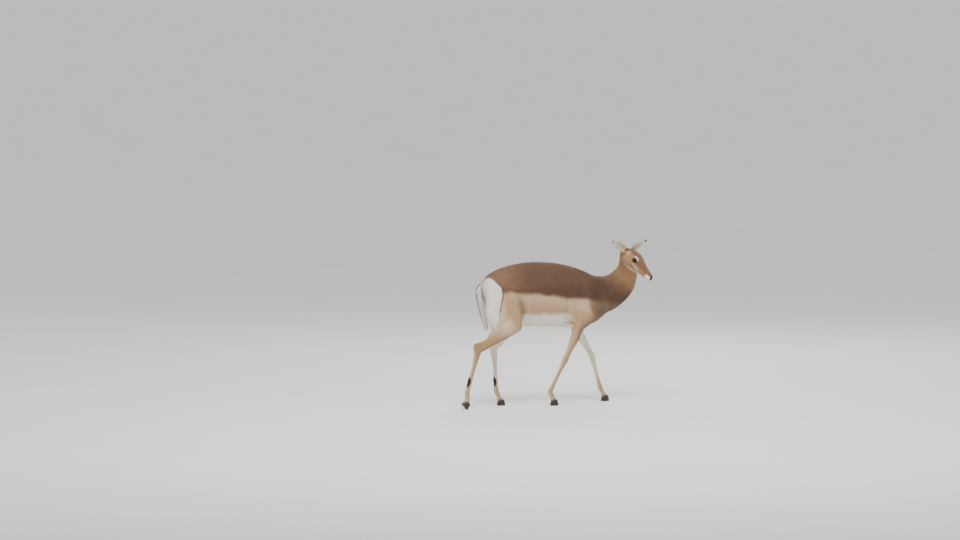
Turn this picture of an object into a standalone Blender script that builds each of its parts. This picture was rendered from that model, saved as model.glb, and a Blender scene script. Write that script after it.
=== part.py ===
"""A life-size impala ewe, walking with her head turned to her right, as a still museum model.

Units are metres. +X is forward along the trunk, +Y is the animal's left and +Z is up. The flesh is
modelled as one smooth body from lofts along its bones and is then parted by thin cuts into trunk,
neck, head and legs. Eyes, ears, tail and hooves are solids of their own, seated with a small gap.
"""
import math

import bmesh
import bpy
import numpy as np
from mathutils import Matrix, Vector

# Driving sizes
GAP = 0.0003            # space that every two neighbouring solids keep
ORIGIN = Vector((0.072, -0.067, 0.0))   # foot of the model's box, measured in the working axes
SIDES = 28              # points round each loft
VOXEL = 0.005           # grain of the joined body before it is thinned out
BODY_FACES = 5000       # triangles left in the joined body
ROUNDNESS = 2.15        # exponent of the superellipse that each section follows
BLEND_LOW, BLEND_HIGH = 0.40, 0.54      # between these heights the joins grow from crisp to soft
BLEND_ROUNDS = 60       # passes of smoothing over the joins
LEFT, RIGHT = 1, -1

# Head: where it sits and how it is turned
POLL = Vector((0.556, -0.120, 0.974))
HEAD_YAW = math.radians(-57)
HEAD_PITCH = math.radians(40)
EYE_RADIUS = 0.0165
EYE_PLACE = (0.098, 0.0375, -0.016)     # forward of the poll, out from the middle, above the axis
EAR_LENGTH = 0.142
EAR_WIDTH = 0.058
EAR_THICK = 0.0042
EAR_ROOT = (0.020, 0.034, -0.012)
EAR_AIMS = {RIGHT: (0.86, 0.22, -0.46), LEFT: (0.85, 0.42, -0.10)}  # outward, upward, forward

# Half width of an ear, as a share of its full width, at shares of its length
EAR_LEAF = [(0.00, 0.27), (0.12, 0.34), (0.30, 0.46), (0.50, 0.50), (0.68, 0.44), (0.82, 0.31), (0.92, 0.18),
            (0.98, 0.08), (1.00, 0.045)]

# Feet
CLAW_HALF = 0.0096      # half the width of one of a foot's two claws
CLAW_SPLIT = 0.0012     # cleft between them
CLAW_TOE = 0.0315       # coronet centre to the point of the toe
CLAW_HEEL = 0.0175
CORONET_HEIGHT = 0.031
CORONET_TILT = 24.0     # the hair line slopes down to the heel, in degrees
CLAW_SIDES = 16
POINTED, BLUNT = 1.75, 2.35             # superellipse exponents of the toe and of the heel
# Rings of a claw: share of its height down from the coronet, reach of toe and heel, width
CLAW_LEVELS = [
    (0.00, 0.62, 0.80, 0.92),
    (0.45, 0.84, 0.92, 1.00),
    (0.86, 1.00, 1.00, 1.00),
    (1.00, 0.97, 0.94, 0.92),
]

# Joints of each leg as (forward, out from the middle, up)
SHOULDER_TOP = (0.262, 0.034, 0.800)
FORE = {
    RIGHT: dict(point=(0.388, 0.076, 0.605), elbow=(0.232, 0.088, 0.492), carpus=(0.140, 0.076, 0.287),
                fetlock=(0.038, 0.070, 0.088), coronet=(0.060, 0.070, CORONET_HEIGHT), lift=0.0),
    LEFT: dict(point=(0.402, 0.076, 0.615), elbow=(0.272, 0.088, 0.492), carpus=(0.396, 0.076, 0.290),
               fetlock=(0.452, 0.070, 0.086), coronet=(0.480, 0.070, CORONET_HEIGHT), lift=0.0),
}
CROUP = (-0.215, 0.048, 0.795)
SEAT = (-0.345, 0.050, 0.745)
HIND = {
    RIGHT: dict(stifle=(-0.205, 0.096, 0.508), hock=(-0.458, 0.072, 0.352),
                fetlock=(-0.530, 0.072, 0.106), coronet=(-0.532, 0.072, 0.042), lift=48.0),
    LEFT: dict(stifle=(-0.085, 0.096, 0.553), hock=(-0.280, 0.074, 0.345),
               fetlock=(-0.264, 0.074, 0.090), coronet=(-0.238, 0.074, CORONET_HEIGHT), lift=0.0),
}

# Sections of the trunk: forward, top, bottom, half width, height of the widest place
TRUNK = [
    (-0.400, 0.772, 0.700, 0.034, 0.735),
    (-0.372, 0.810, 0.640, 0.064, 0.730),
    (-0.320, 0.843, 0.590, 0.083, 0.725),
    (-0.250, 0.870, 0.538, 0.092, 0.715),
    (-0.160, 0.889, 0.505, 0.099, 0.700),
    (-0.060, 0.897, 0.489, 0.110, 0.675),
    (0.040, 0.893, 0.484, 0.116, 0.658),
    (0.120, 0.884, 0.480, 0.112, 0.652),
    (0.200, 0.866, 0.475, 0.101, 0.650),
    (0.270, 0.844, 0.475, 0.090, 0.650),
    (0.340, 0.814, 0.486, 0.082, 0.650),
    (0.400, 0.780, 0.512, 0.074, 0.645),
    (0.450, 0.735, 0.556, 0.058, 0.645),
    (0.480, 0.690, 0.600, 0.030, 0.645),
]

# Sections of the neck: forward, left, up, depth towards the nape and the throat, half width, turn
NECK = [
    (0.300, 0.000, 0.668, 0.160, 0.160, 0.082, 0),
    (0.400, 0.000, 0.680, 0.122, 0.140, 0.078, 0),
    (0.485, -0.006, 0.708, 0.098, 0.122, 0.064, -4),
    (0.550, -0.020, 0.765, 0.078, 0.104, 0.052, -14),
    (0.580, -0.042, 0.830, 0.064, 0.071, 0.043, -28),
    (0.573, -0.065, 0.885, 0.056, 0.057, 0.039, -42),
    (0.553, -0.086, 0.930, 0.048, 0.050, 0.037, -54),
    (0.540, -0.100, 0.952, 0.036, 0.044, 0.034, -57),
]

# Sections of the head: along its axis from the poll, top, bottom, half width, widest place
HEAD = [
    (-0.022, -0.024, -0.074, 0.022, -0.050),
    (0.000, -0.003, -0.086, 0.038, -0.045),
    (0.030, 0.010, -0.094, 0.046, -0.035),
    (0.060, 0.016, -0.098, 0.0495, -0.027),
    (0.090, 0.016, -0.096, 0.0515, -0.022),
    (0.120, 0.008, -0.090, 0.0435, -0.030),
    (0.150, -0.001, -0.083, 0.0340, -0.038),
    (0.180, -0.009, -0.077, 0.0282, -0.041),
    (0.208, -0.015, -0.073, 0.0262, -0.043),
    (0.230, -0.020, -0.071, 0.0265, -0.045),
    (0.244, -0.026, -0.067, 0.0225, -0.047),
    (0.251, -0.035, -0.060, 0.0130, -0.048),
]

# Girth of each leg: bone, share of its length, towards the front, towards the back, half width
FORE_GIRTH = [
    ("elbow", 0.00, 0.044, 0.048, 0.032),
    ("elbow", 0.22, 0.038, 0.038, 0.030),
    ("elbow", 0.48, 0.029, 0.027, 0.025),
    ("elbow", 0.76, 0.020, 0.019, 0.0185),
    ("elbow", 0.92, 0.0195, 0.019, 0.0185),
    ("carpus", 0.00, 0.0205, 0.0215, 0.0200),
    ("carpus", 0.13, 0.0175, 0.0180, 0.0175),
    ("carpus", 0.36, 0.0132, 0.0145, 0.0135),
    ("carpus", 0.72, 0.0125, 0.0148, 0.0130),
    ("carpus", 0.90, 0.0145, 0.0170, 0.0155),
    ("fetlock", 0.00, 0.0162, 0.0185, 0.0172),
    ("fetlock", 0.45, 0.0142, 0.0145, 0.0158),
    ("fetlock", 1.00, 0.0165, 0.0160, 0.0190),
    ("fetlock", 1.20, 0.0165, 0.0160, 0.0190),
]
HIND_GIRTH = [
    ("stifle", -0.13, 0.020, 0.040, 0.024),
    ("stifle", -0.07, 0.034, 0.052, 0.033),
    ("stifle", 0.00, 0.042, 0.058, 0.038),
    ("stifle", 0.25, 0.038, 0.044, 0.033),
    ("stifle", 0.52, 0.028, 0.030, 0.0255),
    ("stifle", 0.80, 0.0205, 0.0215, 0.0190),
    ("hock", 0.00, 0.0215, 0.0270, 0.0200),
    ("hock", 0.10, 0.0205, 0.0235, 0.0190),
    ("hock", 0.28, 0.0158, 0.0175, 0.0152),
    ("hock", 0.58, 0.0140, 0.0158, 0.0135),
    ("hock", 0.74, 0.0140, 0.0205, 0.0150),
    ("hock", 0.86, 0.0138, 0.0160, 0.0140),
    ("fetlock", 0.00, 0.0165, 0.0190, 0.0172),
    ("fetlock", 0.45, 0.0145, 0.0148, 0.0158),
    ("fetlock", 1.00, 0.0165, 0.0160, 0.0190),
    ("fetlock", 1.20, 0.0165, 0.0160, 0.0190),
]

# Sections of the tail: forward, up, thickness each way, half width
TAIL = [
    (-0.368, 0.781, 0.0155, 0.0165),
    (-0.393, 0.779, 0.0165, 0.0200),
    (-0.411, 0.757, 0.0165, 0.0245),
    (-0.417, 0.715, 0.0170, 0.0290),
    (-0.412, 0.665, 0.0180, 0.0310),
    (-0.401, 0.612, 0.0175, 0.0300),
    (-0.387, 0.560, 0.0160, 0.0270),
    (-0.374, 0.512, 0.0125, 0.0205),
    (-0.365, 0.474, 0.0050, 0.0085),
]

COAT_COLOURS = {
    "saddle": (0.31, 0.115, 0.042, 1.0),
    "tan": (0.50, 0.27, 0.12, 1.0),
    "pale": (0.62, 0.45, 0.28, 1.0),
    "white": (0.78, 0.72, 0.63, 1.0),
    "horn": (0.035, 0.028, 0.025, 1.0),
    "eye": (0.018, 0.010, 0.006, 1.0),
}


def smooth_through(rows, step):
    """Rows read about every step along a smooth curve through the given rows."""
    rows = np.array(rows, dtype=float)
    along = np.concatenate([[0.0], np.cumsum(np.linalg.norm(np.diff(rows[:, :3], axis=0), axis=1))])
    slopes = np.gradient(rows, along, axis=0)
    at = np.linspace(0.0, along[-1], max(int(along[-1] / step), 4))
    first = np.clip(np.searchsorted(along, at, side="right") - 1, 0, len(rows) - 2)
    span = (along[first + 1] - along[first])[:, None]
    t = (at - along[first])[:, None] / span
    return (rows[first] * (2 * t**3 - 3 * t**2 + 1) + rows[first + 1] * (3 * t**2 - 2 * t**3)
            + slopes[first] * span * (t**3 - 2 * t**2 + t) + slopes[first + 1] * span * (t**3 - t**2))


def unit(vector):
    return vector / np.linalg.norm(vector, axis=-1, keepdims=True)


def power(value, exponent):
    """The superellipse's rounding of a sine or cosine."""
    return np.sign(value) * np.abs(value) ** (2.0 / exponent)


def tube_rings(rows, step=0.012, grow=0.0):
    """Rings round a spine; a row is x, y, z, upper depth, lower depth, half width, turn in degrees."""
    rows = smooth_through(rows, step)
    spine = rows[:, :3]
    tangent = unit(np.gradient(spine, axis=0))
    turn = np.radians(rows[:, 6])
    lateral = np.stack([-np.sin(turn), np.cos(turn), np.zeros(len(rows))], axis=1)
    lateral = unit(lateral - tangent * np.sum(lateral * tangent, axis=1, keepdims=True))
    upper = np.cross(tangent, lateral)
    rings = []
    for place, out, up, row in zip(spine, lateral, upper, rows):
        angle = np.arange(SIDES) * 2 * math.pi / SIDES
        depth = np.where(np.sin(angle) > 0, row[3], row[4]) + grow
        rise = depth * power(np.sin(angle), ROUNDNESS)
        width = (row[5] + grow) * power(np.cos(angle), ROUNDNESS)
        rings.append(place + np.outer(rise, up) + np.outer(width, out))
    return np.array(rings)


def add_rings(mesh, rings):
    """Join a row of rings into one closed body with flat ends."""
    loops = []
    for ring in rings:
        loops.append([mesh.verts.new(Vector(point)) for point in ring])
    count = len(loops[0])
    for near, far in zip(loops, loops[1:]):
        for i in range(count):
            j = (i + 1) % count
            mesh.faces.new((near[i], near[j], far[j], far[i]))
    mesh.faces.new(list(reversed(loops[0])))
    mesh.faces.new(loops[-1])


def finish_mesh(mesh, name):
    """Turn a bmesh into an object with its faces out."""
    bmesh.ops.recalc_face_normals(mesh, faces=mesh.faces)
    if mesh.calc_volume(signed=True) < 0.0:
        bmesh.ops.reverse_faces(mesh, faces=mesh.faces)
    data = bpy.data.meshes.new(name)
    mesh.to_mesh(data)
    mesh.free()
    thing = bpy.data.objects.new(name, data)
    bpy.context.collection.objects.link(thing)
    return thing


def solid_of_rings(name, rings):
    mesh = bmesh.new()
    add_rings(mesh, rings)
    bmesh.ops.triangulate(mesh, faces=mesh.faces)
    return finish_mesh(mesh, name)


def applied(thing):
    """Replace an object's mesh by what its modifiers make of it."""
    graph = bpy.context.evaluated_depsgraph_get()
    data = bpy.data.meshes.new_from_object(thing.evaluated_get(graph))
    thing.modifiers.clear()
    thing.data = data
    return thing


def cut(thing, cutter):
    """Take one object away from another and drop the cutter."""
    modifier = thing.modifiers.new("cut", "BOOLEAN")
    modifier.object = cutter
    modifier.operation = "DIFFERENCE"
    modifier.solver = "EXACT"
    applied(thing)
    bpy.data.objects.remove(cutter)
    return thing


# The trunk, neck and head

def head_axes():
    """The head's forward, left and upward directions."""
    forward = Vector((math.cos(HEAD_PITCH) * math.cos(HEAD_YAW),
                      math.cos(HEAD_PITCH) * math.sin(HEAD_YAW),
                      -math.sin(HEAD_PITCH)))
    left = Vector((-math.sin(HEAD_YAW), math.cos(HEAD_YAW), 0.0))
    return forward, left, forward.cross(left)


def head_point(along, out, up):
    forward, left, upward = head_axes()
    return POLL + forward * along + left * out + upward * up


def trunk_rings():
    rows = [(x, 0.0, level, top - level, level - bottom, half, 0.0)
            for x, top, bottom, half, level in TRUNK]
    upright = smooth_through(rows, 0.014)
    rings = []
    for x, _, level, up, down, half, _ in upright:
        angle = np.arange(SIDES) * 2 * math.pi / SIDES
        rise = np.where(np.sin(angle) > 0, up, down) * power(np.sin(angle), ROUNDNESS)
        width = half * power(np.cos(angle), ROUNDNESS)
        rings.append(np.stack([np.full(SIDES, x), width, level + rise], axis=1))
    return rings


def head_rings():
    rows = [(along, 0.0, level, top - level, level - bottom, half)
            for along, top, bottom, half, level in HEAD]
    rings = []
    for along, _, level, up, down, half in smooth_through(rows, 0.007):
        angle = np.arange(SIDES) * 2 * math.pi / SIDES
        rise = np.where(np.sin(angle) > 0, up, down) * power(np.sin(angle), ROUNDNESS)
        width = half * power(np.cos(angle), ROUNDNESS)
        rings.append([head_point(along, out, level + lift) for out, lift in zip(width, rise)])
    return rings


# The legs

def side_name(side):
    return "left" if side == LEFT else "right"


def sided(point, side):
    return np.array((point[0], point[1] * side, point[2]))


def leg_rows(joints, girths, side):
    """Spine rows down a leg, placed by the share of each bone's length."""
    order = [key for key in joints if key != "lift"]
    rows = []
    for joint, share, front, back, half in girths:
        start = sided(joints[joint], side)
        end = sided(joints[order[order.index(joint) + 1]], side)
        place = start + (end - start) * share
        rows.append((*place, front, back, half, 0.0))
    return rows


def add_foreleg(mesh, side):
    """Shoulder blade, upper arm and the leg from the elbow down."""
    joints = FORE[side]
    top = sided(SHOULDER_TOP, side)
    point = sided(joints["point"], side)
    elbow = sided(joints["elbow"], side)
    blade = [
        (*top, 0.030, 0.035, 0.016, 0.0),
        (*(top * 0.68 + point * 0.32), 0.048, 0.064, 0.032, 0.0),
        (*(top * 0.30 + point * 0.70), 0.050, 0.070, 0.038, 0.0),
        (*(point * 0.92 + elbow * 0.08), 0.036, 0.050, 0.033, 0.0),
        (*(point * 0.72 + elbow * 0.28), 0.020, 0.030, 0.022, 0.0),
    ]
    arm = [
        (*(point * 0.98 + elbow * 0.02 + np.array((0.0, 0.0, 0.040))), 0.022, 0.032, 0.020, 0.0),
        (*(point * 0.80 + elbow * 0.20 + np.array((0.0, 0.0, 0.020))), 0.040, 0.050, 0.036, 0.0),
        (*(point * 0.45 + elbow * 0.55), 0.040, 0.052, 0.038, 0.0),
        (*(elbow + np.array((0.004, 0.0, -0.004))), 0.036, 0.042, 0.034, 0.0),
    ]
    triceps = [
        (*(top * 0.58 + elbow * 0.42), 0.050, 0.036, 0.024, 0.0),
        (*(elbow + np.array((0.000, -0.006 * side, 0.075))), 0.058, 0.046, 0.035, 0.0),
        (*(elbow + np.array((-0.010, 0.0, 0.008))), 0.044, 0.032, 0.028, 0.0),
    ]
    for rows in (blade, arm, triceps, leg_rows(joints, FORE_GIRTH, side)):
        add_rings(mesh, tube_rings(rows))


def add_hindleg(mesh, side):
    """Thigh, gaskin, the tendon to the point of the hock and the leg below it."""
    joints = HIND[side]
    stifle = sided(joints["stifle"], side)
    hock = sided(joints["hock"], side)
    croup = sided(CROUP, side)
    seat = sided(SEAT, side)
    shank = hock - stifle
    behind = unit(np.cross(shank, np.array((0.0, 1.0, 0.0)))) * -1.0
    heel = hock + np.array((-0.022, 0.0, 0.036))
    back = np.array((-0.092, 0.004 * side, -0.028))
    front_thigh = [
        (*croup, 0.040, 0.060, 0.028, 0.0),
        (*(croup * 0.55 + stifle * 0.45 + np.array((0.000, 0.013 * side, 0.010))), 0.058, 0.085, 0.043, 0.0),
        (*(croup * 0.18 + stifle * 0.82), 0.050, 0.072, 0.044, 0.0),
        (*(stifle + shank * 0.14), 0.040, 0.050, 0.036, 0.0),
        (*(stifle + shank * 0.30), 0.026, 0.038, 0.028, 0.0),
    ]
    back_thigh = [
        (*seat, 0.075, 0.048, 0.036, 0.0),
        (*(seat + (stifle - seat) * 0.30 + back * 0.42), 0.085, 0.062, 0.044, 0.0),
        (*(seat + (stifle - seat) * 0.62 + back), 0.085, 0.060, 0.040, 0.0),
        (*(stifle + shank * 0.44 + behind * 0.046), 0.056, 0.038, 0.029, 0.0),
        (*(stifle + shank * 0.64 + behind * 0.036), 0.034, 0.018, 0.018, 0.0),
    ]
    tendon = [
        (*(stifle + shank * 0.52 + behind * 0.036), 0.032, 0.020, 0.018, 0.0),
        (*(stifle + shank * 0.78 + behind * 0.031), 0.026, 0.012, 0.0115, 0.0),
        (*heel, 0.019, 0.013, 0.0125, 0.0),
        (*(hock + np.array((-0.016, 0.0, 0.004))), 0.016, 0.014, 0.0135, 0.0),
        (*(hock + np.array((-0.014, 0.0, -0.026))), 0.014, 0.010, 0.012, 0.0),
    ]
    for rows in (front_thigh, back_thigh, tendon, leg_rows(joints, HIND_GIRTH, side)):
        add_rings(mesh, tube_rings(rows))


def whole_flesh():
    """Every loft fused into one skin, its joins softened and its faces thinned out."""
    mesh = bmesh.new()
    add_rings(mesh, trunk_rings())
    add_rings(mesh, tube_rings(NECK))
    add_rings(mesh, head_rings())
    for side in (LEFT, RIGHT):
        add_foreleg(mesh, side)
        add_hindleg(mesh, side)
    body = finish_mesh(mesh, "flesh")
    fuse = body.modifiers.new("fuse", "REMESH")
    fuse.mode = "VOXEL"
    fuse.voxel_size = VOXEL
    applied(body)
    soften(body.data)
    thin = body.modifiers.new("thin", "DECIMATE")
    body.data.calc_loop_triangles()
    thin.ratio = BODY_FACES / len(body.data.loop_triangles)
    thin.use_collapse_triangulate = True
    return applied(body)


def soften(data):
    """Relax the joins between trunk and limbs, and leave the slender parts nearly as they are."""
    count = len(data.vertices)
    places = np.empty(count * 3)
    data.vertices.foreach_get("co", places)
    places = places.reshape(-1, 3)
    ends = np.empty(len(data.edges) * 2, dtype=int)
    data.edges.foreach_get("vertices", ends)
    ends = ends.reshape(-1, 2)
    degree = np.bincount(ends.ravel(), minlength=count)[:, None]
    rise = np.clip((places[:, 2] - BLEND_LOW) / (BLEND_HIGH - BLEND_LOW), 0.0, 1.0)
    along = (places - np.array(POLL)) @ np.array(head_axes()[0])
    near_head = np.clip((along + 0.03) / 0.05, 0.0, 1.0) * (places[:, 0] > NECK[2][0])
    weight = (0.06 + 0.50 * rise * (1.0 - near_head))[:, None]
    for _ in range(BLEND_ROUNDS):
        total = np.zeros_like(places)
        np.add.at(total, ends[:, 0], places[ends[:, 1]])
        np.add.at(total, ends[:, 1], places[ends[:, 0]])
        places = places + weight * (total / degree - places)
    data.vertices.foreach_set("co", places.ravel())


# Thin cuts

def sheet(name, quads):
    """A thin folded wall that parts the body, from one or more four-cornered faces."""
    mesh = bmesh.new()
    for corners in quads:
        mesh.faces.new([mesh.verts.new(corner) for corner in corners])
    bmesh.ops.remove_doubles(mesh, verts=mesh.verts, dist=0.00001)
    bmesh.ops.recalc_face_normals(mesh, faces=mesh.faces)
    wall = finish_mesh(mesh, name)
    thick = wall.modifiers.new("thick", "SOLIDIFY")
    thick.thickness = GAP
    thick.offset = 0.0
    thick.use_even_offset = True
    return applied(wall)


def head_sheet():
    """Behind the ears and the jaw."""
    back, low, reach = (-0.130, 0.038), (0.150, -0.152), 0.16
    return sheet("head_cut", [[head_point(back[0], reach, back[1]), head_point(back[0], -reach, back[1]),
                               head_point(low[0], -reach, low[1]), head_point(low[0], reach, low[1])]])


def neck_sheet():
    """From in front of the withers down to the front of the chest."""
    high, low, reach = (0.366, 0.860), (0.530, 0.505), 0.20
    return sheet("neck_cut", [[(high[0], reach, high[1]), (high[0], -reach, high[1]),
                               (low[0], -reach, low[1]), (low[0], reach, low[1])]])


def foreleg_sheet(side):
    """Up and out from the armpit, above the elbow."""
    inner, outer = (0.020, 0.418), (0.200, 0.585)
    back, front = FORE[side]["elbow"][0] - 0.10, FORE[side]["elbow"][0] + 0.12
    return sheet("foreleg_cut", [[(back, inner[0] * side, inner[1]), (front, inner[0] * side, inner[1]),
                                  (front, outer[0] * side, outer[1]), (back, outer[0] * side, outer[1])]])


def hindleg_sheet(side):
    """From the groin up to the hip, and down the fold of the flank."""
    inner, outer = (0.006, 0.470), (0.200, 0.860)
    back = -0.50
    front = HIND[side]["stifle"][0] + 0.070
    foot = HIND[side]["stifle"][0] + 0.020
    low = 0.300
    top_front_in = (front, inner[0] * side, inner[1])
    top_front_out = (front, outer[0] * side, outer[1])
    return sheet("hindleg_cut", [
        [(back, inner[0] * side, inner[1]), top_front_in, top_front_out, (back, outer[0] * side, outer[1])],
        [top_front_in, top_front_out, (foot, outer[0] * side, low), (foot, inner[0] * side, low)],
    ])


def coronet_sheet(place, tilt, side):
    """Square to the pastern, where hair meets hoof."""
    centre = Vector(sided(place, side))
    turn = Matrix.Rotation(math.radians(tilt), 4, "Y")
    reach = 0.034
    corners = [centre + turn @ Vector((a * reach, b * reach, 0.0))
               for a, b in ((1, 1), (1, -1), (-1, -1), (-1, 1))]
    return sheet("coronet_cut", [corners])


def pieces_of(thing):
    """Every closed piece of a mesh, as a list of bmeshes."""
    mesh = bmesh.new()
    mesh.from_mesh(thing.data)
    todo = set(mesh.verts)
    groups = []
    while todo:
        stack = [todo.pop()]
        group = set(stack)
        while stack:
            for edge in stack.pop().link_edges:
                for vertex in edge.verts:
                    if vertex in todo:
                        todo.discard(vertex)
                        group.add(vertex)
                        stack.append(vertex)
        groups.append(group)
    result = []
    for group in groups:
        part = mesh.copy()
        keep = {vertex.index for vertex in group}
        part.verts.ensure_lookup_table()
        bmesh.ops.delete(part, geom=[v for v in part.verts if v.index not in keep], context="VERTS")
        result.append(part)
    mesh.free()
    return result


def middle(mesh):
    return sum((vertex.co for vertex in mesh.verts), Vector()) / len(mesh.verts)


def parted_flesh():
    """The body's nodes by name, after all cuts."""
    body = whole_flesh()
    walls = [head_sheet(), neck_sheet()]
    for side in (LEFT, RIGHT):
        walls += [foreleg_sheet(side), hindleg_sheet(side)]
        for leg in (FORE[side], HIND[side]):
            walls.append(coronet_sheet(leg["coronet"], leg["lift"] - CORONET_TILT, side))
    for wall in walls:
        cut(body, wall)
    seats = {
        "head": head_point(0.10, 0.0, -0.04),
        "neck": Vector(NECK[4][:3]),
        "trunk": Vector((TRUNK[6][0], 0.0, TRUNK[6][4])),
    }
    for side in (LEFT, RIGHT):
        seats["leg_front_" + side_name(side)] = Vector(sided(FORE[side]["carpus"], side))
        seats["leg_hind_" + side_name(side)] = Vector(sided(HIND[side]["stifle"], side) * 0.4
                                                      + sided(HIND[side]["hock"], side) * 0.6)
    found = {}
    largest_first = sorted(pieces_of(body), key=lambda piece: -len(piece.verts))
    for part in largest_first:
        name = min(seats, key=lambda key: (seats[key] - middle(part)).length)
        if name in found:
            part.free()
            continue
        found[name] = finish_mesh(part, name)
    bpy.data.objects.remove(body)
    return found


# Ears, eyes, tail and hooves

def ear_rings(side, grow=0.0):
    """A cupped leaf: the outside of the ear one way round and its inside back again."""
    forward, left, upward = head_axes()
    out, up, ahead = EAR_AIMS[side]
    aim = (left * side * out + upward * up + forward * ahead).normalized()
    opening = forward + upward * 0.35
    opening = (opening - aim * opening.dot(aim)).normalized()
    across = aim.cross(opening)
    root = head_point(EAR_ROOT[0], EAR_ROOT[1] * side, EAR_ROOT[2])
    shares = np.linspace(0.0, 1.0, 12)
    halves = np.interp(shares, *zip(*EAR_LEAF)) * EAR_WIDTH
    rings = []
    for share, half in zip(shares, halves):
        cup = max(half * (0.95 - 0.45 * share), EAR_THICK * 0.75)
        bend = 0.010 * math.sin(math.pi * share)
        place = root + aim * (share * EAR_LENGTH) - opening * bend
        thick = min(EAR_THICK, half * 0.9, cup * 0.9)
        arc = np.linspace(-0.5, 0.5, 7) * math.pi
        ring = []
        for angle in arc:
            outside = across * ((half + grow) * math.sin(angle))
            ring.append(place + outside - opening * ((cup + grow) * math.cos(angle)))
        for angle in arc[::-1]:
            inside = (half - thick) * math.sin(angle)
            depth = (cup - thick) * math.cos(angle) - 0.0006
            ring.append(place + across * inside - opening * depth + opening * grow)
        rings.append(ring)
    return rings


def ear_socket(side):
    """The hollow in the head that an ear's root sits in."""
    mesh = bmesh.new()
    for ring in ear_rings(side, GAP)[:5]:
        for point in ring:
            mesh.verts.new(point)
    bmesh.ops.convex_hull(mesh, input=mesh.verts)
    bmesh.ops.delete(mesh, geom=[v for v in mesh.verts if not v.link_faces], context="VERTS")
    return finish_mesh(mesh, "ear_socket")


def ball(name, centre, radius):
    mesh = bmesh.new()
    bmesh.ops.create_uvsphere(mesh, u_segments=14, v_segments=9, radius=radius,
                              matrix=Matrix.Translation(centre))
    bmesh.ops.triangulate(mesh, faces=mesh.faces)
    return finish_mesh(mesh, name)


def tail_rings(grow=0.0):
    rows = [(x, 0.0, z, thick, thick, half, 0.0) for x, z, thick, half in TAIL]
    return tube_rings(rows, step=0.020, grow=grow)[:, ::2]


def claw(name, place, lift, side, out):
    """One claw, pointed in front and flat below, hanging from the coronet."""
    centre = Vector(sided(place, side))
    slope = math.tan(math.radians(CORONET_TILT))
    rings = []
    for share, toe, heel, wide in CLAW_LEVELS:
        ring = []
        for i in range(CLAW_SIDES):
            angle = 2 * math.pi * i / CLAW_SIDES
            front = math.cos(angle) > 0
            reach = CLAW_TOE * toe if front else CLAW_HEEL * heel
            ahead = reach * power(math.cos(angle), POINTED if front else BLUNT)
            width = CLAW_HALF * wide * power(math.sin(angle), BLUNT)
            closing = 0.25 * max(ahead, 0.0) / CLAW_TOE
            spread = CLAW_SPLIT / 2 + CLAW_HALF * (1.0 - closing)
            height = (1.0 - share) * (ahead * slope - GAP / 2) - share * CORONET_HEIGHT
            ring.append(Vector((ahead, out * spread + width, height)))
        rings.append(ring)
    turn = Matrix.Translation(centre) @ Matrix.Rotation(math.radians(lift), 4, "Y")
    mesh = bmesh.new()
    add_rings(mesh, [[turn @ point for point in ring] for ring in rings])
    floor_cut(mesh)
    bmesh.ops.triangulate(mesh, faces=mesh.faces)
    return finish_mesh(mesh, name)


def floor_cut(mesh):
    """Trim what would be under the floor, and close it with one flat face."""
    geometry = list(mesh.verts) + list(mesh.edges) + list(mesh.faces)
    under = min(vertex.co.z for vertex in mesh.verts)
    if under > -0.00001:
        return
    bmesh.ops.bisect_plane(mesh, geom=geometry, plane_co=(0, 0, 0), plane_no=(0, 0, -1), clear_outer=True)
    bmesh.ops.holes_fill(mesh, edges=[edge for edge in mesh.edges if edge.is_boundary])


# Materials and assembly

def finish(thing, colour, roughness):
    """Give a solid its own plain material and smooth shading, and move it to the model's origin."""
    material = bpy.data.materials.new(thing.name)
    material.use_nodes = True
    shader = material.node_tree.nodes["Principled BSDF"]
    shader.inputs["Base Color"].default_value = COAT_COLOURS[colour]
    shader.inputs["Roughness"].default_value = roughness
    shader.inputs["Metallic"].default_value = 0.0
    thing.data.materials.clear()
    thing.data.materials.append(material)
    thing.data.transform(Matrix.Translation(-ORIGIN))
    thing.data.shade_smooth()
    thing.data.set_sharp_from_angle(angle=math.radians(50))


def build():
    for old in list(bpy.data.objects):
        bpy.data.objects.remove(old)
    nodes = parted_flesh()
    for side in (LEFT, RIGHT):
        word = side_name(side)
        along, out, up = EYE_PLACE
        centre = head_point(along, out * side, up)
        cut(nodes["head"], ball("socket", centre, EYE_RADIUS + GAP))
        cut(nodes["head"], ear_socket(side))
        finish(ball("eye_" + word, centre, EYE_RADIUS), "eye", 0.12)
        finish(solid_of_rings("ear_" + word, ear_rings(side)), "tan", 0.85)
    for name in ("trunk", "leg_hind_left", "leg_hind_right"):
        cut(nodes[name], solid_of_rings("tail_socket", tail_rings(GAP)))
    finish(solid_of_rings("tail", tail_rings()), "white", 0.9)
    colours = {"trunk": "saddle", "neck": "tan", "head": "tan"}
    for name, thing in nodes.items():
        finish(thing, colours.get(name, "pale"), 0.85)
    for joints, word in ((FORE, "front"), (HIND, "hind")):
        for side in (LEFT, RIGHT):
            leg = joints[side]
            for out, where in ((side, "outer"), (-side, "inner")):
                name = "_".join(("hoof", word, side_name(side), where))
                finish(claw(name, leg["coronet"], leg["lift"], side, out), "horn", 0.45)


build()
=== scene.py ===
# %% [markdown]
# # A life-size impala ewe, walking, with her head turned
#
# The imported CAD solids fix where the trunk, neck, head, legs, ears, eyes, tail and hooves are. This
# script loads them as a frame and dresses them. One skin stands in for all the flesh, a coat of short
# locks grows out of it, and eyes, lids and hooves are finer pieces of their own.

# %% Load the frame
import math

import bmesh
import bpy
import numpy as np
from mathutils import Matrix, Vector


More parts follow.
